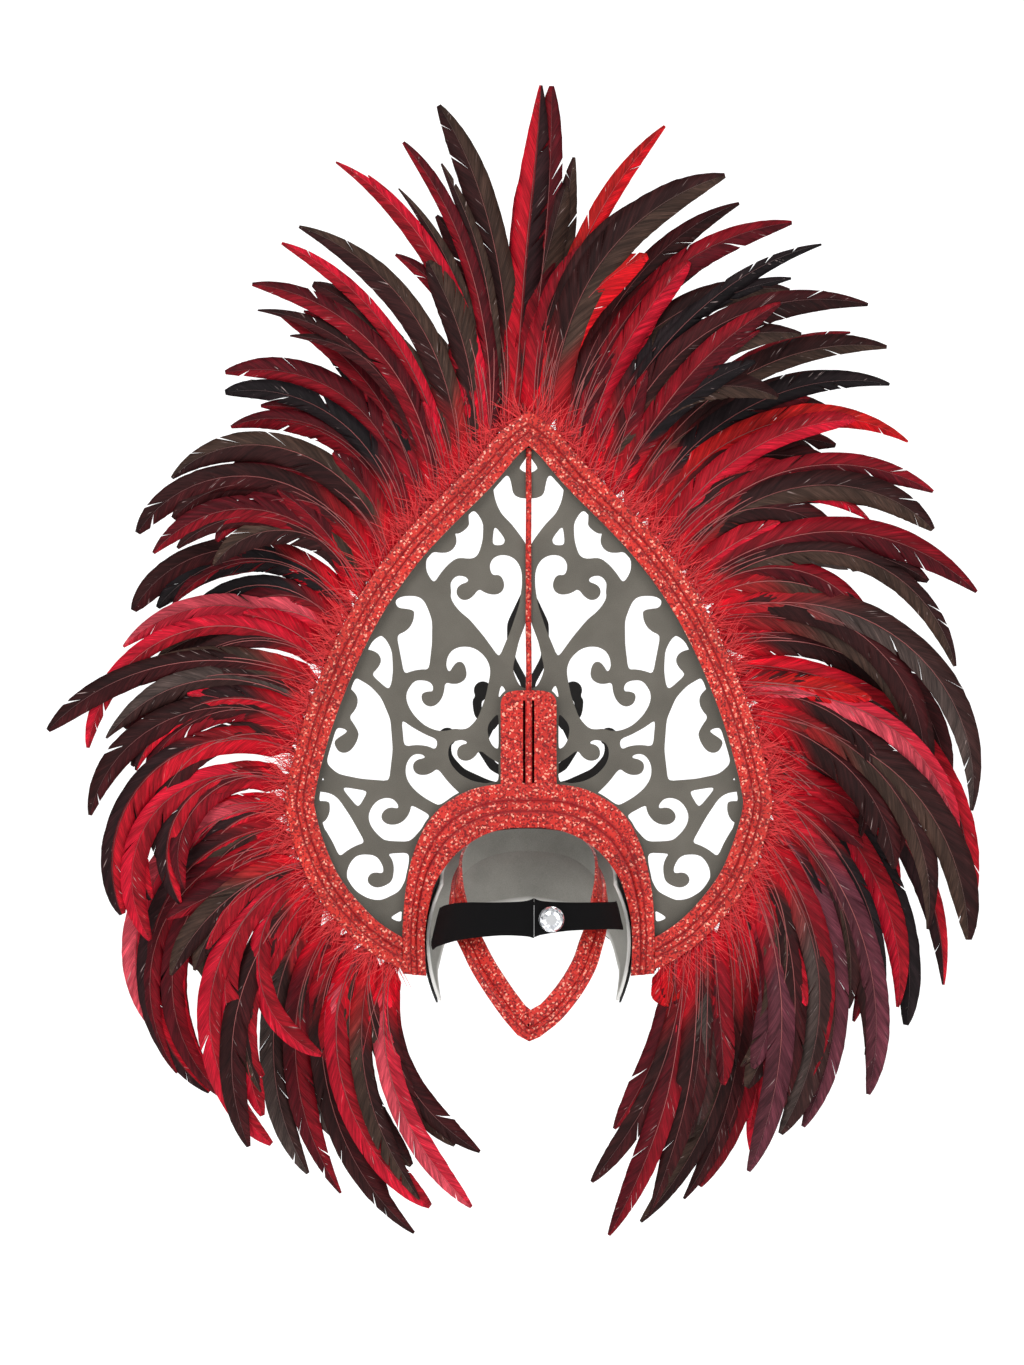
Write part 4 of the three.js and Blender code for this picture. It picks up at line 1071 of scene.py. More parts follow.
    def shaft(self, bm: bmesh.types.BMesh, tint_name: str) -> None:
        """Adds the tapered quill.

        Args:
            bm: mesh that takes it, in metres.
            tint_name: name of the colour layer.
        """
        steps, sides = 22, 5
        tints = bm.verts.layers.float_color[tint_name]
        table = grid_verts(bm, steps, sides)
        verts = []
        for i, line in enumerate(table):
            share = lerp(-0.01, 0.97, i / steps)
            spot, across = self.spot(share)
            radius = lerp(0.62, 0.12, max(0.0, share) ** 0.7) * (1 if i < steps else 0.2)
            for j, v in enumerate(line):
                angle = 2 * math.pi * (j % sides) / sides
                offset = across * math.cos(angle) * radius
                offset.y += math.sin(angle) * radius - 0.5
                v.co = (spot + offset) * MM
                pale = smoothstep(share, 0.02, 0.3)
                tone = [lerp(a, b, pale) for a, b in zip((0.34, 0.008, 0.016), self.shaft_tone)]
                far = smoothstep(share, 0.45, 1.0)
                tone = [lerp(a, b * 1.3 + 0.01, far) for a, b in zip(tone, self.tone.near)]
                v[tints] = (*tone, 1.0)
                verts.append(v)
        bmesh.ops.remove_doubles(bm, verts=verts, dist=1e-6)


@dataclass
class FeatherFan:
    """The feathers of one bound strip, with shorter companions behind them."""

    side: Side
    number: int
    rows: tuple[FanRow, ...]
    tones: str
    layer_spread: float = 15.0
    layer_step: float = 1.5
    blade_spread: float = 4.0

    def depth_at(self, order: float, shift: float) -> Callable[[float], float]:
        """Depth of a feather of this fan by distance from its root.

        Args:
            order: its place in the fan, counted from the middle.
            shift: further depth away from the root, in mm.

        Returns:
            Function from distance in mm to depth in mm.
        """
        layer = FAN_LAYERS[(self.number + (2 if self.side is Side.RIGHT else 0)) % len(FAN_LAYERS)]

        def depth(distance: float) -> float:
            """Depth at a distance from the root."""
            open_share = smoothstep(distance, 55, 150)
            fan = layer * lerp(self.layer_step, self.layer_spread, open_share)
            apart = (order * self.blade_spread + shift) * open_share
            return SIZES.channel_middle + fan + apart + shift * 0.15

        return depth

    def feathers(self) -> list[Feather]:
        """Main feathers and companions of the fan.

        Returns:
            The feathers, not yet built.
        """
        made = []
        middle = (len(self.rows) - 1) / 2
        base_seed = 1000 * (1 if self.side is Side.LEFT else 2) + 20 * self.number
        for i, (at, aim, curl, long, wide) in enumerate(self.rows):
            chance = random.Random(base_seed + i)
            tone = Tone[self.tones[i]].value
            tip = chance.choice((2.2, 2.6, 3.4, 4.5))
            depth = self.depth_at(i - middle, 0.0)
            made.append(Feather(self.side, at, aim, curl, long, wide, tone, depth, base_seed + i, tip))
            for k in range(2):
                other = Tone[chance.choice(self.tones + "BMD")].value
                made.append(
                    Feather(
                        self.side,
                        min(0.985, max(0.05, at + chance.uniform(-0.012, 0.012))),
                        aim + chance.uniform(-7, 7),
                        curl + chance.uniform(-16, 16),
                        long * chance.uniform(0.62, 0.93) if long > 0.3 else long,
                        wide * chance.uniform(0.85, 1.08),
                        other,
                        self.depth_at(i - middle, chance.uniform(1.5, 3.2)),
                        base_seed + 5000 + 10 * i + k,
                        chance.choice((2.2, 3.0, 4.0)),
                        rows=44,
                    )
                )
            if long > 0.3 and i != 1:
                made.append(
                    Feather(
                        self.side,
                        min(0.985, max(0.05, at + chance.uniform(-0.01, 0.012))),
                        aim + chance.uniform(-12, 12),
                        curl * 0.35,
                        chance.uniform(0.28, 0.46),
                        chance.uniform(0.8, 1.0),
                        Tone.M.value if chance.random() < 0.5 else Tone.C.value,
                        self.depth_at(i - middle, chance.uniform(3.4, 4.6)),
                        base_seed + 9000 + i,
                        2.2,
                        rows=30,
                        red_until=0.9,
                    )
                )
        return made

    def build(self, vane_look: bpy.types.Material, shaft_look: bpy.types.Material) -> list[bpy.types.Object]:
        """Builds the fan's vanes and shafts.

        Args:
            vane_look: material of the vanes.
            shaft_look: material of the shafts.

        Returns:
            The two pieces.
        """
        number = f"{self.number + 1:02d}"
        node = f"feather_fan_{self.side.word}_{number}"
        web, quills = bmesh.new(), bmesh.new()
        for bm in (web, quills):
            bm.verts.layers.float_color.new("tint")
        web.loops.layers.uv.new("barbs")
        for feather in self.feathers():
            feather.vane(web, "barbs", "tint")
            feather.shaft(quills, "tint")
        vanes = finish_piece(web, f"plume_{self.side.word}_{number}", vane_look, [node], 180.0)
        solid = vanes.modifiers.new("web", "SOLIDIFY")
        solid.thickness = 0.25 * MM
        solid.offset = 0.0
        shafts = finish_piece(quills, f"shafts_{self.side.word}_{number}", shaft_look, (), 180.0)
        return [vanes, shafts]


# Glitter bands.


GROOVE = 0.45  # mm that the sheet is pressed in beside a rib


@dataclass
class GlitterBand:
    """A glitter strip between two half outlines, with a cord rib along its middle."""

    name: str
    node: str
    outer: list[Vector]
    inner: list[Vector]
    width: float
    seed: int = 3
    wobble: float = 0.35

    def section(self, outer: Vector, inner: Vector, bump: float) -> Ring:
        """Points of the strip's section, from the glued face's outer edge round to its inner edge.

        Args:
            outer: point of the outer line.
            inner: point of the inner line.
            bump: share by which the rib is raised here.

        Returns:
            The section in metres.
        """
        rib = SIZES.rib_width / self.width * 0.75
        depth = SIZES.band_back
        top = SIZES.rib_height * bump
        half = (
            (0.0, SIZES.band_front), (0.0, depth + 0.35), (0.02, depth), (0.25, depth),
            (0.5 - rib * 1.7, depth), (0.5 - rib * 1.12, depth + GROOVE),
            (0.5 - rib * 0.85, depth - top * 0.45), (0.5 - rib * 0.45, depth - top * 0.88),
        )
        rows = (*half, (0.5, depth - top), *((1 - share, y) for share, y in reversed(half)))
        places = [(outer.lerp(inner, share), y) for share, y in rows]
        return [Vector((p.x, y, p.y)) * MM for p, y in places]

    def rings(self) -> list[Ring]:
        """Sections from the left foot over the top to the right foot.

        Returns:
            The sections in metres.
        """
        full = [(Vector((-p.x, p.y)), Vector((-q.x, q.y))) for p, q in zip(self.outer, self.inner)]
        full += [(p, q) for p, q in reversed(list(zip(self.outer, self.inner))[:-1])]
        rings = []
        for i, (p, q) in enumerate(full):
            across = (q - p).normalized()
            drift = noise.noise(Vector((i * 0.13, self.seed, 0))) * self.wobble
            bump = 1 + 0.06 * noise.noise(Vector((i * 0.4, 0, self.seed)))
            rings.append(self.section(p + across * drift, q + across * drift, bump))
        return rings

    def trim(self, bm: bmesh.types.BMesh) -> None:
        """Leaves the strip whole; bands that meet another strip cut themselves here."""

    def build(self, look: bpy.types.Material) -> bpy.types.Object:
        """Builds the strip.

        Args:
            look: the glitter material.

        Returns:
            The piece.
        """
        bm = bmesh.new()
        sweep(bm, self.rings())
        self.trim(bm)
        bmesh.ops.recalc_face_normals(bm, faces=bm.faces)
        mark_edges(bm, SIZES.band_back * MM)
        return finish_piece(bm, self.name, look, [self.node], 50.0)


def mark_edges(bm: bmesh.types.BMesh, depth: float) -> None:
    """Marks the cut sides of a flat strip, which show the paler sheet under the glitter, and where shade is
    painted beside the rib.

    Args:
        bm: the mesh, in metres.
        depth: depth of the strip's flat outer face.
    """
    mask = bm.verts.layers.float.new("edge")
    groove_shade = bm.verts.layers.float.new("groove_shade")
    for v in bm.verts:
        sunk = (v.co.y - depth) / MM
        v[mask] = float(sunk > 2 * GROOVE)
        # painted shade: full in the pressed grooves beside the rib, half partway up the rib's flanks
        v[groove_shade] = 0.95 if abs(sunk - GROOVE) < 0.06 else 0.5 if -1.3 < sunk < -0.9 else 0.0


@dataclass
class RimBand(GlitterBand):
    """The strip round the spade, cut off beside the arch strip."""

    def trim(self, bm: bmesh.types.BMesh) -> None:
        """Cuts the two feet along the arch strip's sides.

        Args:
            bm: the mesh, in metres.
        """
        edge = (SIZES.arch_half_width + SIZES.gap) * MM
        for sign in (-1, 1):
            middles = {f: f.calc_center_median() for f in bm.faces}
            near = [f for f, middle in middles.items() if middle.z < 0.06 and middle.x * sign > 0]
            geom = list({*near, *(e for f in near for e in f.edges), *(v for f in near for v in f.verts)})
            spot, way = (sign * edge, 0, 0), (sign, 0, 0)
            bmesh.ops.bisect_plane(
                bm, geom=geom, dist=1e-6, plane_co=spot, plane_no=way, clear_inner=True
            )
        bmesh.ops.holes_fill(bm, edges=[e for e in bm.edges if e.is_boundary], sides=0)


@dataclass
class CentreTab:
    """The round-topped tab over the arch, with its short rib."""

    half_width: float = 25.0
    top: float = 206.0
    rib_drop: float = 9.0
    shoulder: float = 0.55
    flat: float = 0.6
    steps: int = 16

    def outline(self, low: float) -> list[Vector]:
        """Closed outline of the tab.

        Args:
            low: height of its foot.

        Returns:
            Points across and up, in mm.
        """
        w, top = self.half_width, self.top
        shoulder = top - w * self.shoulder
        points = [Vector((-w, low)), Vector((w, low))]
        for i in range(self.steps + 1):
            t = i / self.steps
            a, b = Vector((w, shoulder)), Vector((w, top))
            c, d = Vector((w * self.flat, top)), Vector((0, top))
            points.append(a * (1 - t) ** 3 + b * 3 * t * (1 - t) ** 2 + c * 3 * t * t * (1 - t) + d * t**3)
        points += [Vector((-p.x, p.y)) for p in reversed(points[2:-1])]
        return points

    def build(self, look: bpy.types.Material) -> bpy.types.Object:
        """Builds the tab.

        Args:
            look: the glitter material.

        Returns:
            The piece.
        """
        low = SIZES.foot + SIZES.arch_rise + SIZES.gap
        bm = bmesh.new()
        verts = [bm.verts.new((p.x * MM, SIZES.band_front * MM, p.y * MM)) for p in self.outline(low)]
        face = bm.faces.new(verts)
        lifted = bmesh.ops.extrude_face_region(bm, geom=[face])["geom"]
        top = [v for v in lifted if isinstance(v, bmesh.types.BMVert)]
        bmesh.ops.translate(bm, verts=top, vec=(0, -SIZES.band_thickness * MM, 0))
        sheet = [f for f in lifted if isinstance(f, bmesh.types.BMFace)]
        bmesh.ops.inset_region(bm, faces=sheet, thickness=0.0006)
        band = GlitterBand("rib", "", [], [], SIZES.band_width)
        rows = []
        high = self.top - self.rib_drop
        for i in range(25):
            z = lerp(low + 0.5, high, i / 24)
            end = 1.0 if i < 22 else (0.95, 0.75, 0.3)[i - 22]
            ring = band.section(Vector((13, z)), Vector((-13, z)), end)
            rows.append(ring[4:13])
        sweep(bm, rows)
        bmesh.ops.recalc_face_normals(bm, faces=bm.faces)
        mark_edges(bm, SIZES.band_back * MM)
        return finish_piece(bm, "centre_tab_sheet", look, ["centre_tab"], 50.0)


@dataclass
class CentreRod:
    """Glitter-wrapped wire from the tab to the apex, slightly lumpy."""

    radius: float = 2.6
    sides: int = 14
    steps: int = 90

    def build(self, look: bpy.types.Material) -> bpy.types.Object:
        """Builds the rod.

        Args:
            look: the glitter material.

        Returns:
            The piece.
        """
        low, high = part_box("centre_rod")
        bm = bmesh.new()
        rings = []
        for i in range(self.steps + 1):
            z = lerp(low[2], high[2], i / self.steps)
            lump = 1 + 0.07 * noise.noise(Vector((0, 0, z * 180)))
            middle = Vector((0.0006 * noise.noise(Vector((3, 0, z * 20))), (low[1] + high[1]) / 2, z))
            rings.append(
                [
                    middle + Vector((math.cos(a), math.sin(a), 0)) * self.radius * MM * lump
                    for a in (2 * math.pi * j / self.sides for j in range(self.sides))
                ]
            )
        sweep(bm, rings)
        bmesh.ops.recalc_face_normals(bm, faces=bm.faces)
        bm.verts.layers.float.new("edge")
        return finish_piece(bm, "centre_wire", look, ["centre_rod"], 60.0)


# Foam pieces.


@dataclass
class PiercedSheet:
    """A flat pierced foam sheet, its corners softened as a knife leaves them."""

    node: str
    name: str
    slot: str
    round_limit: float = 2.5
    edge: float = 0.35

    def loops(self) -> tuple[list[list[Vector]], float, float]:
        """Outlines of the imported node's back face.

        Returns:
            Closed loops in metres, and the depths of the back and front faces.
        """
        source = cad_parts[self.node].data
        bm = bmesh.new()
        bm.from_mesh(source)
        bmesh.ops.remove_doubles(bm, verts=bm.verts, dist=1e-6)
        low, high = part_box(self.node)
        back, front = low[1], high[1]
        rim = [
            e
            for e in bm.edges
            if all(abs(v.co.y - back) < 1e-5 for v in e.verts)
            and any(abs(f.normal.y) < 0.5 for f in e.link_faces)
            and any(f.normal.y < -0.5 for f in e.link_faces)
        ]
        follow: dict[bmesh.types.BMVert, list[bmesh.types.BMVert]] = {}
        for e in rim:
            a, b = e.verts
            follow.setdefault(a, []).append(b)
            follow.setdefault(b, []).append(a)
        loops = []
        left = set(follow)
        while left:
            start = left.pop()
            loop = [start]
            before, here = None, start
            while True:
                ahead = [v for v in follow[here] if v is not before and (v in left or v is start)]
                if not ahead:
                    break
                step = ahead[0]
                if step is start:
                    break
                left.discard(step)
                loop.append(step)
                before, here = here, step
            loops.append([v.co.copy() for v in loop])
        bm.free()
        return [loop for loop in loops if len(loop) > 3], back, front

    def soften(self, loop: list[Vector]) -> list[Vector]:
        """Drops points on straight runs and cuts the corners twice.

        Args:
            loop: a closed loop in metres.

        Returns:
            The softened loop.
        """
        kept = []
        for i, p in enumerate(loop):
            a, b = loop[i - 1], loop[(i + 1) % len(loop)]
            if (p - a).length < 1e-5:
                continue
            if (p - a).angle(b - p, 0.0) > math.radians(1.5):
                kept.append(p)
        for _ in range(2):
            cut = []
            for i, p in enumerate(kept):
                a, b = kept[i - 1], kept[(i + 1) % len(kept)]
                for other in (a, b):
                    span = (other - p).length
                    reach = min(span * 0.27, self.round_limit * MM)
                    cut.append(p + (other - p).normalized() * reach)
            kept = cut
        return kept

    def build(self, look: bpy.types.Material) -> bpy.types.Object:
        """Builds the sheet.

        Args:
            look: its material.

        Returns:
            The piece.
        """
        loops, back, front = self.loops()
        bm = bmesh.new()
        for loop in loops:
            verts = [bm.verts.new((p.x, back, p.z)) for p in self.soften(loop)]
            for a, b in zip(verts, verts[1:] + verts[:1]):
                bm.edges.new((a, b))
        bmesh.ops.triangle_fill(bm, use_beauty=True, use_dissolve=False, edges=bm.edges, normal=(0, -1, 0))
        faces = list(bm.faces)
        lifted = bmesh.ops.extrude_face_region(bm, geom=faces)["geom"]
        moved = [v for v in lifted if isinstance(v, bmesh.types.BMVert)]
        bmesh.ops.translate(bm, verts=moved, vec=(0, front - back, 0))
        bmesh.ops.recalc_face_normals(bm, faces=bm.faces)
        bm.verts.layers.float.new("edge")
        piece = finish_piece(bm, self.name, look, [self.node], 40.0)
        add_bevel(piece, self.edge, 1, 50.0)
        return piece


BrowRow = tuple[float, float, float, float, float, float]

# Columns: heading, then top, middle, bottom, reach at the top and reach at the bottom.
BROW: tuple[BrowRow, ...] = (
    (0, 0.8, 0.46, 0.1, 0.95, 1),
    (28, 0.78, 0.42, 0.04, 0.94, 1),
    (55, 0.66, 0.22, -0.22, 0.92, 0.99),
    (75, 0.48, 0.02, -0.52, 0.88, 0.95),
    (90, 0.34, -0.15, -0.8, 0.86, 0.88),
)


@dataclass
class ForeheadWall:
    """One layer of the tall wall round the front of the head."""

    name: str
    node: str
    slot: str
    outside: float
    wall: float
    low: float = 0.0
    last_turn: float = 90.0
    turns: int = 64
    rows: int = 12

    @staticmethod
    def row(turn: float) -> BrowRow:
        """Table row eased between its neighbours.

        Args:
            turn: heading in degrees from straight ahead.

        Returns:
            The row.
        """
        turn = abs(turn)
        i = 0
        while i < len(BROW) - 2 and BROW[i + 1][0] < turn:
            i += 1
        share = (turn - BROW[i][0]) / (BROW[i + 1][0] - BROW[i][0])
        eased = (smoothstep(share, 0, 1) + share) / 2
        return tuple(lerp(a, b, eased) for a, b in zip(BROW[i], BROW[i + 1]))

    @classmethod
    def point(cls, turn: float, up: float, depth: float) -> Vector:
        """Place on the wall.

        Args:
            turn: heading in degrees.
            up: share of the wall's height.
            depth: distance inwards in mm.

        Returns:
            Place in mm.
        """
        _, top, _, bottom, reach_top, reach_bottom = cls.row(turn)
        z = lerp(bottom, top, up) * SIZES.brow_half_width
        edge = reach_top if up > 0.5 else reach_bottom
        reach = 1 - (1 - edge) * abs(2 * up - 1) ** 2
        heading = math.radians(turn)
        return Vector(
            (
                math.sin(heading) * (SIZES.brow_half_width * reach - depth),
                math.cos(heading) * (SIZES.brow_reach * reach - depth),
                z,
            )
        )

    def build(self, look: bpy.types.Material) -> bpy.types.Object:
        """Builds the layer.

        Args:
            look: its material.

        Returns:
            The piece.
        """
        bm = bmesh.new()
        rings = []
        for i in range(self.turns + 1):
            turn = lerp(-self.last_turn, self.last_turn, i / self.turns)
            ups = [lerp(self.low, 1.0, j / self.rows) for j in range(self.rows + 1)]
            ring = [self.point(turn, up, self.outside) for up in ups]
            ring += [self.point(turn, up, self.outside + self.wall) for up in reversed(ups)]
            rings.append([p * MM for p in ring])
        sweep(bm, rings)
        bmesh.ops.recalc_face_normals(bm, faces=bm.faces)
        mask = bm.verts.layers.float.new("edge")
        for v in bm.verts:
            v[mask] = 0.0
        for e in bm.edges:
            if len(e.link_faces) == 2 and e.calc_face_angle(0.0) > math.radians(60):
                for v in e.verts:
                    v[mask] = 1.0
        piece = finish_piece(bm, self.name, look, [self.node], 40.0)
        add_bevel(piece, min(0.5, self.wall * 0.2), 1, 50.0)
        return piece


RingRow = tuple[float, float, float, float, float, float]

# Columns: across, ahead, fall, heading of the face, width share and lean.
RING: tuple[RingRow, ...] = (
    (0, 1, 0, 90, 0.95, 0), (0.4, 0.93, 0.01, 72, 0.95, 0), (0.72, 0.72, 0.05, 48, 0.95, 0),
    (0.92, 0.4, 0.12, 0, 1, 0), (1, 0.05, 0.22, -38, 1.05, 0), (0.97, -0.35, 0.345, -60, 1, 0),
    (0.87, -0.67, 0.465, -68, 1, 0.03), (0.75, -0.86, 0.555, -74, 1, 0.07),
    (0.61, -1.01, 0.665, -77, 1, 0.11), (0.4, -1.14, 0.8, -80, 1, 0.12),
    (0.17, -1.22, 0.93, -86, 1, 0.08), (0, -1.25, 1, -90, 1.12, 0),
)


@dataclass
class NapeRing:
    """The closed band that sits on the head, glitter outside, foam inside."""

    half_width: float = 66.2
    half_depth: float = 79.1
    top: float = 67.0
    fall: float = 152.0
    width: float = 22.0
    wall: float = 2.6
    rib_at: float = 0.28
    fine: int = 6

    def stations(self) -> list[RingRow]:
        """Rows right round the ring."""
        right = [(a + lean, *rest, lean) for a, *rest, lean in RING]
        left = [(-a, b, c, 180 - face, w, 0) for a, b, c, face, w, _ in reversed(RING[1:-1])]
        return right + left

    def rings(self) -> list[Ring]:
        """Sections right round, finer than the rows.

        Returns:
            The sections in metres.
        """
        rows = self.stations()
        spots = [(r[0] * self.half_width, r[1] * self.half_depth, self.top - r[2] * self.fall) for r in rows]
        count = len(rows)
        centres, outs, wides = [], [], []
        for i in range(count):
            p = [Vector(spots[(i + k) % count]) for k in (-1, 0, 1, 2)]
            sharp = i in (10, 11)
            for step in range(self.fine):
                t = step / self.fine
                if sharp:
                    spot = p[1].lerp(p[2], t)
                else:
                    spot = 0.5 * (
                        2 * p[1] + (p[2] - p[0]) * t + (2 * p[0] - 5 * p[1] + 4 * p[2] - p[3]) * t * t
                        + (3 * p[1] - p[0] - 3 * p[2] + p[3]) * t**3
                    )
                a, b = math.radians(rows[i][3]), math.radians(rows[(i + 1) % count][3])
                way_a, way_b = Vector((math.cos(a), math.sin(a), 0)), Vector((math.cos(b), math.sin(b), 0))
                centres.append(spot)
                outs.append(way_a.lerp(way_b, t).normalized())
                wides.append(lerp(rows[i][4], rows[(i + 1) % count][4], t))
        half = self.width / 2
        rib = SIZES.rib_width / 2
        at, height = half * self.rib_at, SIZES.rib_height
        slope = ((1.6, 0.0), (1.1, -0.4), (0.8, height * 0.5), (0.4, height * 0.9))
        section = [
            (-half, 0), (-half, self.wall), *((at - rib * a, self.wall + up) for a, up in slope),
            (at, self.wall + height), *((at + rib * a, self.wall + up) for a, up in reversed(slope)),
            (half, self.wall), (half, 0),
        ]
        total = len(centres)
        rings = []
        for i, centre in enumerate(centres):
            along = (centres[(i + 1) % total] - centres[i - 1]).normalized()
            across = along.cross(outs[i]).normalized()
            out = across.cross(along).normalized()
            rings.append([(centre - across * w * wides[i] + out * (t - self.wall)) * MM for w, t in section])
        return rings

    def build(self, glitter: bpy.types.Material, foam: bpy.types.Material) -> bpy.types.Object:
        """Builds the ring.

        Args:
            glitter: material of the outside.
            foam: material of the inside.

        Returns:
            The piece.
        """
        bm = bmesh.new()
        rings = self.rings()
        sweep(bm, rings, closed=True)
        bmesh.ops.recalc_face_normals(bm, faces=bm.faces)
        inside = {ring[k].to_tuple(6) for ring in rings for k in (0, -1)}
        sunk = {ring[k].to_tuple(6) for ring in rings for k in (3, 9)}
        bm.verts.layers.float.new("edge")
        groove_shade = bm.verts.layers.float.new("groove_shade")
        for v in bm.verts:
            # painted shade in the two pressed grooves beside the rib
            v[groove_shade] = 0.95 if v.co.to_tuple(6) in sunk else 0.0
        for f in bm.faces:
            f.material_index = int(all(v.co.to_tuple(6) in inside for v in f.verts))
        piece = finish_piece(bm, "nape_ring_sheet", glitter, ["nape_ring"], 45.0)
        piece.data.materials.append(foam)
        return piece


StrapRow = tuple[float, float, float]

# Columns: heading from straight behind, middle and height as shares of the strap's height.
STRAP_LEFT: tuple[StrapRow, ...] = (
    (-93, -0.24, 1.05), (-80, -0.19, 1.04), (-66, -0.06, 1), (-42, 0.14, 0.9), (-18, 0.24, 0.8),
    (-3, 0.26, 0.84), (2.6, 0.27, 0.96),
)
STRAP_RIGHT: tuple[StrapRow, ...] = (
    (2.762, 0.28, 0.94), (8, 0.28, 0.8), (24, 0.29, 0.68), (48, 0.25, 0.66), (68, 0.18, 0.68),
    (80, 0.13, 0.7), (93, 0.1, 0.7),
)


@dataclass
class ElasticStrap:
    """Half of the elastic strap, gathered where the halves are sewn together."""

    side: Side
    table: tuple[StrapRow, ...]
    end_inset: float
    height: float = 36.0
    back: float = 106.0
    wall: float = 1.8
    inset: float = 0.35
    fine: int = 16
    rows: int = 10

    def inside(self, z: float) -> float:
        """Half the distance between the wings' inner faces at a height.

        Args:
            z: the height in mm.

        Returns:
            The half distance in mm.
        """
        row = ForeheadWall.row(90)
        up = (z / SIZES.brow_half_width - row[3]) / (row[1] - row[3])
        below = math.floor(up * 2)
        low = ForeheadWall.point(90, below / 2, SIZES.brow_wall).x
        high = ForeheadWall.point(90, (below + 1) / 2, SIZES.brow_wall).x
        return lerp(low, high, up * 2 - below)

    def place(self, turn: float, z: float, depth: float) -> Vector:
        """Point of the strap.

        Args:
            turn: heading in degrees from straight behind.
            z: height in mm.
            depth: distance inwards in mm.

        Returns:
            Place in mm.
        """
        heading = math.radians(turn)
        half = SIZES.brow_half_width - SIZES.brow_wall - self.inset
        reach = lerp(half, self.inside(z) - self.end_inset, math.sin(heading) ** 4)
        return Vector((math.sin(heading) * (reach - depth), -math.cos(heading) * (self.back - depth), z))

    def build(self, look: bpy.types.Material) -> bpy.types.Object:
        """Builds the strap half.

        Args:
            look: the elastic.

        Returns:
            The piece.
        """
        curve = Outline(self.table)
        steps = self.fine * (len(self.table) - 1)
        rings, runs = [], []
        run, before = 0.0, None
        for i in range(steps + 1):
            turn, middle, tall = curve.raw(i / steps)
            low, high = (middle - tall / 2) * self.height, (middle + tall / 2) * self.height
            ups = [j / self.rows for j in range(self.rows + 1)]
            outside, inside = [], []
            for up in ups:
                z = lerp(low, high, up)
                ripple = 0.35 * noise.noise(Vector((turn * 0.12, up * 2.5, 4.0 * self.side.value)))
                thin = 0.35 * (abs(2 * up - 1) ** 6)
                outside.append(self.place(turn, z, thin + 0.2 + ripple))
                inside.append(self.place(turn, z, self.wall - 0.2 - thin + ripple))
            ring = outside + inside[::-1]
            here = outside[self.rows // 2]
            run += (here - before).length if before is not None else 0.0
            before = here
            runs.append((run, low, high))
            rings.append([p * MM for p in ring])
        bm = bmesh.new()
        sweep(bm, rings)
        bmesh.ops.recalc_face_normals(bm, faces=bm.faces)
        uvs = bm.loops.layers.uv.new("weave")
        length = runs[-1][0]
        first, last = self.table[0][0], self.table[-1][0]
        for f in bm.faces:
            for loop in f.loops:
                co = loop.vert.co / MM
                turn = math.degrees(math.atan2(co.x, -co.y))
                loop[uvs].uv = ((turn - first) / (last - first) * length / 100, co.z / 100)
        node = f"strap_{self.side.word}"
        return finish_piece(bm, f"{node}_elastic", look, [node], 50.0)


@dataclass
class CrystalButton:
    """The cut-stone button: table, two rows of crown facets, girdle and flat back."""

    radius: float = 11.2
    height: float = 7.0
    across: float = 19.0
    up: float = 9.0
    back: float = -106.3
    sides: int = 16

    def build(self, look: bpy.types.Material) -> bpy.types.Object:
        """Builds the button.

        Args:
            look: the cut stone.

        Returns:
            The piece.
        """
        rows = (
            (0.9, 0.0, 0.0), (1.0, 0.18, 0.0), (1.0, 0.26, 0.0),
            (0.88, 0.58, 0.5), (0.68, 0.86, 0.0), (0.42, 1.0, 0.5),
        )
        bm = bmesh.new()
        rings = []
        for radius, rise, turn in rows:
            ring = []
            for i in range(self.sides):
                angle = 2 * math.pi * (i + turn) / self.sides
                ring.append(
                    Vector(
                        (
                            self.across + math.cos(angle) * radius * self.radius,
                            self.back - rise * self.height,
                            self.up + math.sin(angle) * radius * self.radius,
                        )
                    )
                    * MM
                )
            rings.append(ring)
        sweep(bm, rings)
        bmesh.ops.triangulate(bm, faces=[f for f in bm.faces if len(f.verts) == 4])
        bmesh.ops.recalc_face_normals(bm, faces=bm.faces)
        bmesh.ops.split_edges(bm, edges=bm.edges)
        mask = bm.verts.layers.float.new("facet_reflection")
        # painted reflection: a random grey for each cut face stands in for what it reflects
        chance = random.Random(11)
        for f in bm.faces:
            shade = chance.random()
            for v in f.verts:
                v[mask] = shade
        return finish_piece(bm, "crystal_button_cut", look, ["crystal_button"], None)


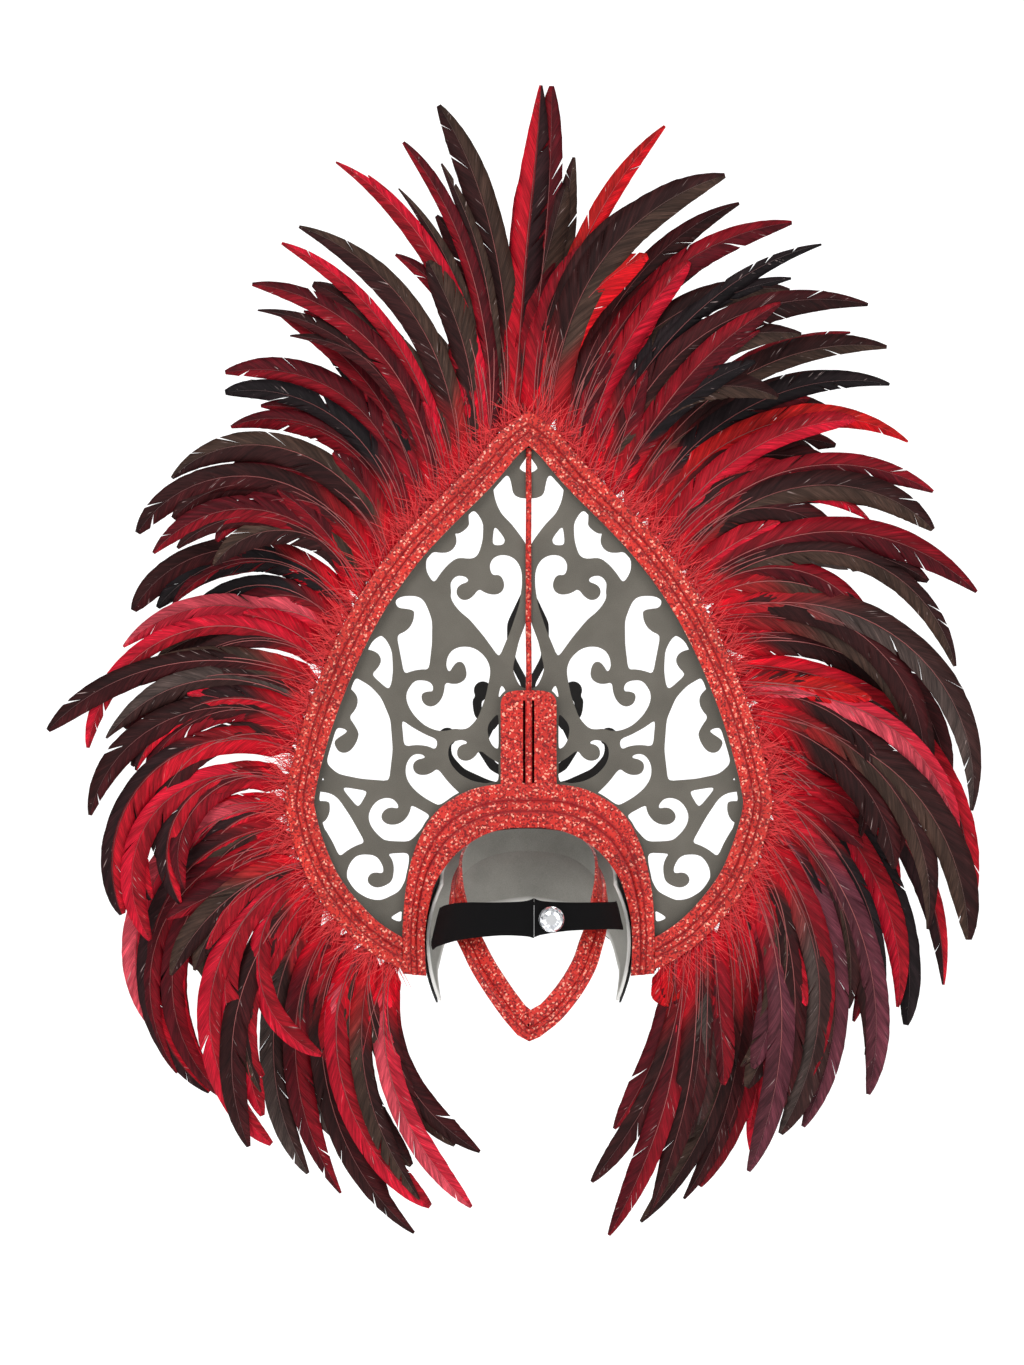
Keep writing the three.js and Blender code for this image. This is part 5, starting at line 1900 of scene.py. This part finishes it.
@dataclass
class DownTufts:
    """Fluffy red down along the outside of the rim."""

    side: Side
    tufts: int = 46
    filaments: int = 46
    length: float = 26.0
    thickness: float = 0.85
    bends: int = 4

    def build(self, look: bpy.types.Material) -> bpy.types.Object:
        """Builds the tufts of one side.

        Args:
            look: the down.

        Returns:
            The piece.
        """
        bm = bmesh.new()
        chance = random.Random(40 + self.side.value)
        for k in range(self.tufts):
            at = lerp(0.05, 0.985, (k + chance.uniform(-0.3, 0.3)) / (self.tufts - 1))
            point, along = SPADE_HALF.at(at), SPADE_HALF.along(at)
            out = Vector((along.y, 0, -along.x))
            root = Vector((point.x, SIZES.channel_middle, point.y)) - out * 4
            for _ in range(self.filaments):
                self.filament(bm, root, out, chance)
        return finish_piece(bm, f"down_{self.side.word}", look, (), 180.0)

    def filament(self, bm: bmesh.types.BMesh, root: Vector, out: Vector, chance: random.Random) -> None:
        """Adds one drooping filament.

        Args:
            bm: mesh that takes it.
            root: tuft's root in mm, for the right-hand side.
            out: direction away from the panel.
            chance: source of the filament's chance values.
        """
        swing = math.radians(chance.gauss(0, 34))
        cos, sin = math.cos(swing), math.sin(swing)
        way = Vector((out.x * cos - out.z * sin, 0, out.x * sin + out.z * cos))
        way.y = chance.uniform(-0.4, 0.25)
        way.normalize()
        curl = Vector((chance.uniform(-1, 1), chance.uniform(-0.6, 0.6), chance.uniform(-1, 1))) * 0.5
        length = self.length * chance.uniform(0.5, 1.25)
        start = root + Vector((chance.uniform(-4, 4), chance.uniform(-2.5, 2.5), chance.uniform(-4, 4)))
        table = grid_verts(bm, self.bends, 1)
        side = self.side.value
        turn = Vector((-way.z, chance.uniform(-0.8, 0.8), way.x)).normalized()
        for i, line in enumerate(table):
            share = i / self.bends
            spot = start + (way * share + curl * share**2 * 0.7) * length
            half = self.thickness * (1 - 0.7 * share) * 0.5
            for j, v in enumerate(line):
                place = spot + turn * (half if j else -half)
                v.co = Vector((side * place.x, place.y, place.z)) * MM


# Studio.


@dataclass
class Studio:
    """Pale sweep, soft lights and the camera straight behind the headdress."""

    focal: float = 97.66 * 1024 / 1365  # for the picture's long side
    eye: tuple[float, float, float] = (-0.0149, -2.5, 0.213)
    floor: float = -0.6

    def build(self) -> None:
        """Builds floor, lights, world and camera, and shows colours without a film curve."""
        bpy.context.scene.view_settings.view_transform = "Standard"
        self.sweep_floor()
        self.lights()
        self.camera()

    def sweep_floor(self) -> None:
        """Adds the floor, curved up into a backdrop."""
        bm = bmesh.new()
        table = grid_verts(bm, 24, 1)
        for i, line in enumerate(table):
            if i <= 8:
                y, z = lerp(-6.0, 3.0, i / 8), self.floor
            elif i <= 18:
                a = math.radians(90 * (i - 8) / 10)
                y, z = 3.0 + 1.5 * math.sin(a), self.floor + 1.5 - 1.5 * math.cos(a)
            else:
                y, z = 4.5, self.floor + 1.5 + (i - 18) * 0.8
            for j, v in enumerate(line):
                v.co = (9.0 * (1 if j else -1), y, z)
        mesh = bpy.data.meshes.new("backdrop")
        bm.to_mesh(mesh)
        bm.free()
        mesh.shade_smooth()
        backdrop = bpy.data.objects.new("backdrop", mesh)
        bpy.context.scene.collection.objects.link(backdrop)
        look = Finish("Backdrop", roughness=0.9)
        look.use("Base Color", (0.95, 0.95, 0.95, 1))
        look.use("Emission Color", (1, 1, 1, 1))
        look.use("Emission Strength", 0.35)
        mesh.materials.append(look.material)

    def lights(self) -> None:
        """Adds the world and the soft lights."""
        world = bpy.data.worlds.new("Studio air")
        bpy.context.scene.world = world
        world.use_nodes = True
        world.node_tree.nodes["Background"].inputs[0].default_value = (1, 1, 1, 1)
        world.node_tree.nodes["Background"].inputs[1].default_value = 0.55
        for name, spot, size, watts in (
            ("key", (-1.1, -2.6, 1.9), 1.6, 46.0),
            ("fill", (1.6, -2.4, 0.9), 1.8, 26.0),
            ("rim", (0.3, 1.8, 2.4), 1.6, 20.0),
        ):
            lamp = bpy.data.lights.new(name, "AREA")
            lamp.size = size
            lamp.energy = watts
            light = bpy.data.objects.new(name, lamp)
            bpy.context.scene.collection.objects.link(light)
            light.location = spot
            way = Vector((0, 0, 0.2)) - Vector(spot)
            light.rotation_euler = way.to_track_quat("-Z", "Y").to_euler()

    def camera(self) -> None:
        """Adds the camera at the photograph's viewing angle."""
        data = bpy.data.cameras.new("camera")
        data.sensor_width = 36
        data.lens = self.focal
        data.clip_end = 100
        eye = bpy.data.objects.new("camera", data)
        bpy.context.scene.collection.objects.link(eye)
        eye.location = self.eye
        eye.rotation_euler = (math.pi / 2, 0, 0)
        bpy.context.scene.camera = eye


def dress_cores(look: bpy.types.Material) -> None:
    """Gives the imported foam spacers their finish.

    Args:
        look: the dark foam.
    """
    for name in ("rim_core", "arch_core"):
        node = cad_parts[name]
        node.data.materials.clear()
        node.data.materials.append(look)


def main() -> None:
    """Builds the headdress and its studio."""
    logging.basicConfig(level=logging.INFO, format="%(message)s")
    Studio().build()
    shared = SharedGroups()
    glitter = GlitterFinish(shared).material
    # the dark foam's cut-edge colour, darker than its face, is painted shade; no piece in this foam marks its
    # edges, so it does not show
    panel_foam = FoamFinish(
        FoamTone("Dark foam", (0.125, 0.113, 0.093), (0.08, 0.072, 0.058), (0.06, 0.055, 0.045)), shared
    ).material
    wall_foam = FoamFinish(
        FoamTone("Grey foam", (0.3, 0.29, 0.26), (0.2, 0.195, 0.175), (0.72, 0.71, 0.68)), shared
    ).material
    cover_foam = FoamFinish(
        FoamTone("Black foam", (0.018, 0.016, 0.015), (0.008, 0.008, 0.008), (0.01, 0.01, 0.01)), shared
    ).material
    dress_cores(panel_foam)
    PiercedSheet("pierced_panel", "panel_sheet", "dark_foam").build(panel_foam)
    PiercedSheet("front_plaque", "plaque_sheet", "black_foam").build(cover_foam)
    steps = 110
    rim_outer = [SPADE_HALF.at(i / steps) for i in range(steps + 1)]
    rim_inner = inset(SPADE_HALF, steps, SIZES.band_width)
    RimBand("rim_band_sheet", "rim_band", rim_outer, rim_inner, SIZES.band_width).build(glitter)
    arch_steps = 60
    arch_outer = [ARCH_HALF.at(i / arch_steps) for i in range(arch_steps + 1)]
    arch_inner = [OPENING_HALF.at(i / arch_steps) for i in range(arch_steps + 1)]
    arch = GlitterBand("arch_band_sheet", "arch_band", arch_outer, arch_inner, SIZES.band_width, seed=8)
    arch.build(glitter)
    CentreTab().build(glitter)
    CentreRod().build(glitter)
    ForeheadWall("forehead_wall", "forehead_band", "grey_foam", 0.0, SIZES.brow_wall).build(wall_foam)
    clear = math.degrees(math.asin((3.0 + 3 * SIZES.gap) / SIZES.brow_reach))
    ForeheadWall(
        "forehead_cover_sheet", "forehead_cover", "black_foam", -SIZES.cover_gap - SIZES.cover_wall,
        SIZES.cover_wall, low=-0.05, last_turn=90 - clear,
    ).build(cover_foam)
    NapeRing().build(glitter, wall_foam)
    elastic = ElasticFinish().material
    ElasticStrap(Side.LEFT, STRAP_LEFT, 1.0).build(elastic)
    ElasticStrap(Side.RIGHT, STRAP_RIGHT, 0.35).build(elastic)
    CrystalButton().build(CrystalFinish().material)
    vane, shaft, down = VaneFinish().material, ShaftFinish().material, DownFinish().material
    for side, fans, tones in ((Side.LEFT, LEFT_FANS, LEFT_TONES), (Side.RIGHT, RIGHT_FANS, RIGHT_TONES)):
        used = 0
        for number, rows in enumerate(fans):
            FeatherFan(side, number, rows, tones[used : used + len(rows)]).build(vane, shaft)
            used += len(rows)
        DownTufts(side).build(down)


if __name__ == "__main__":
    main()
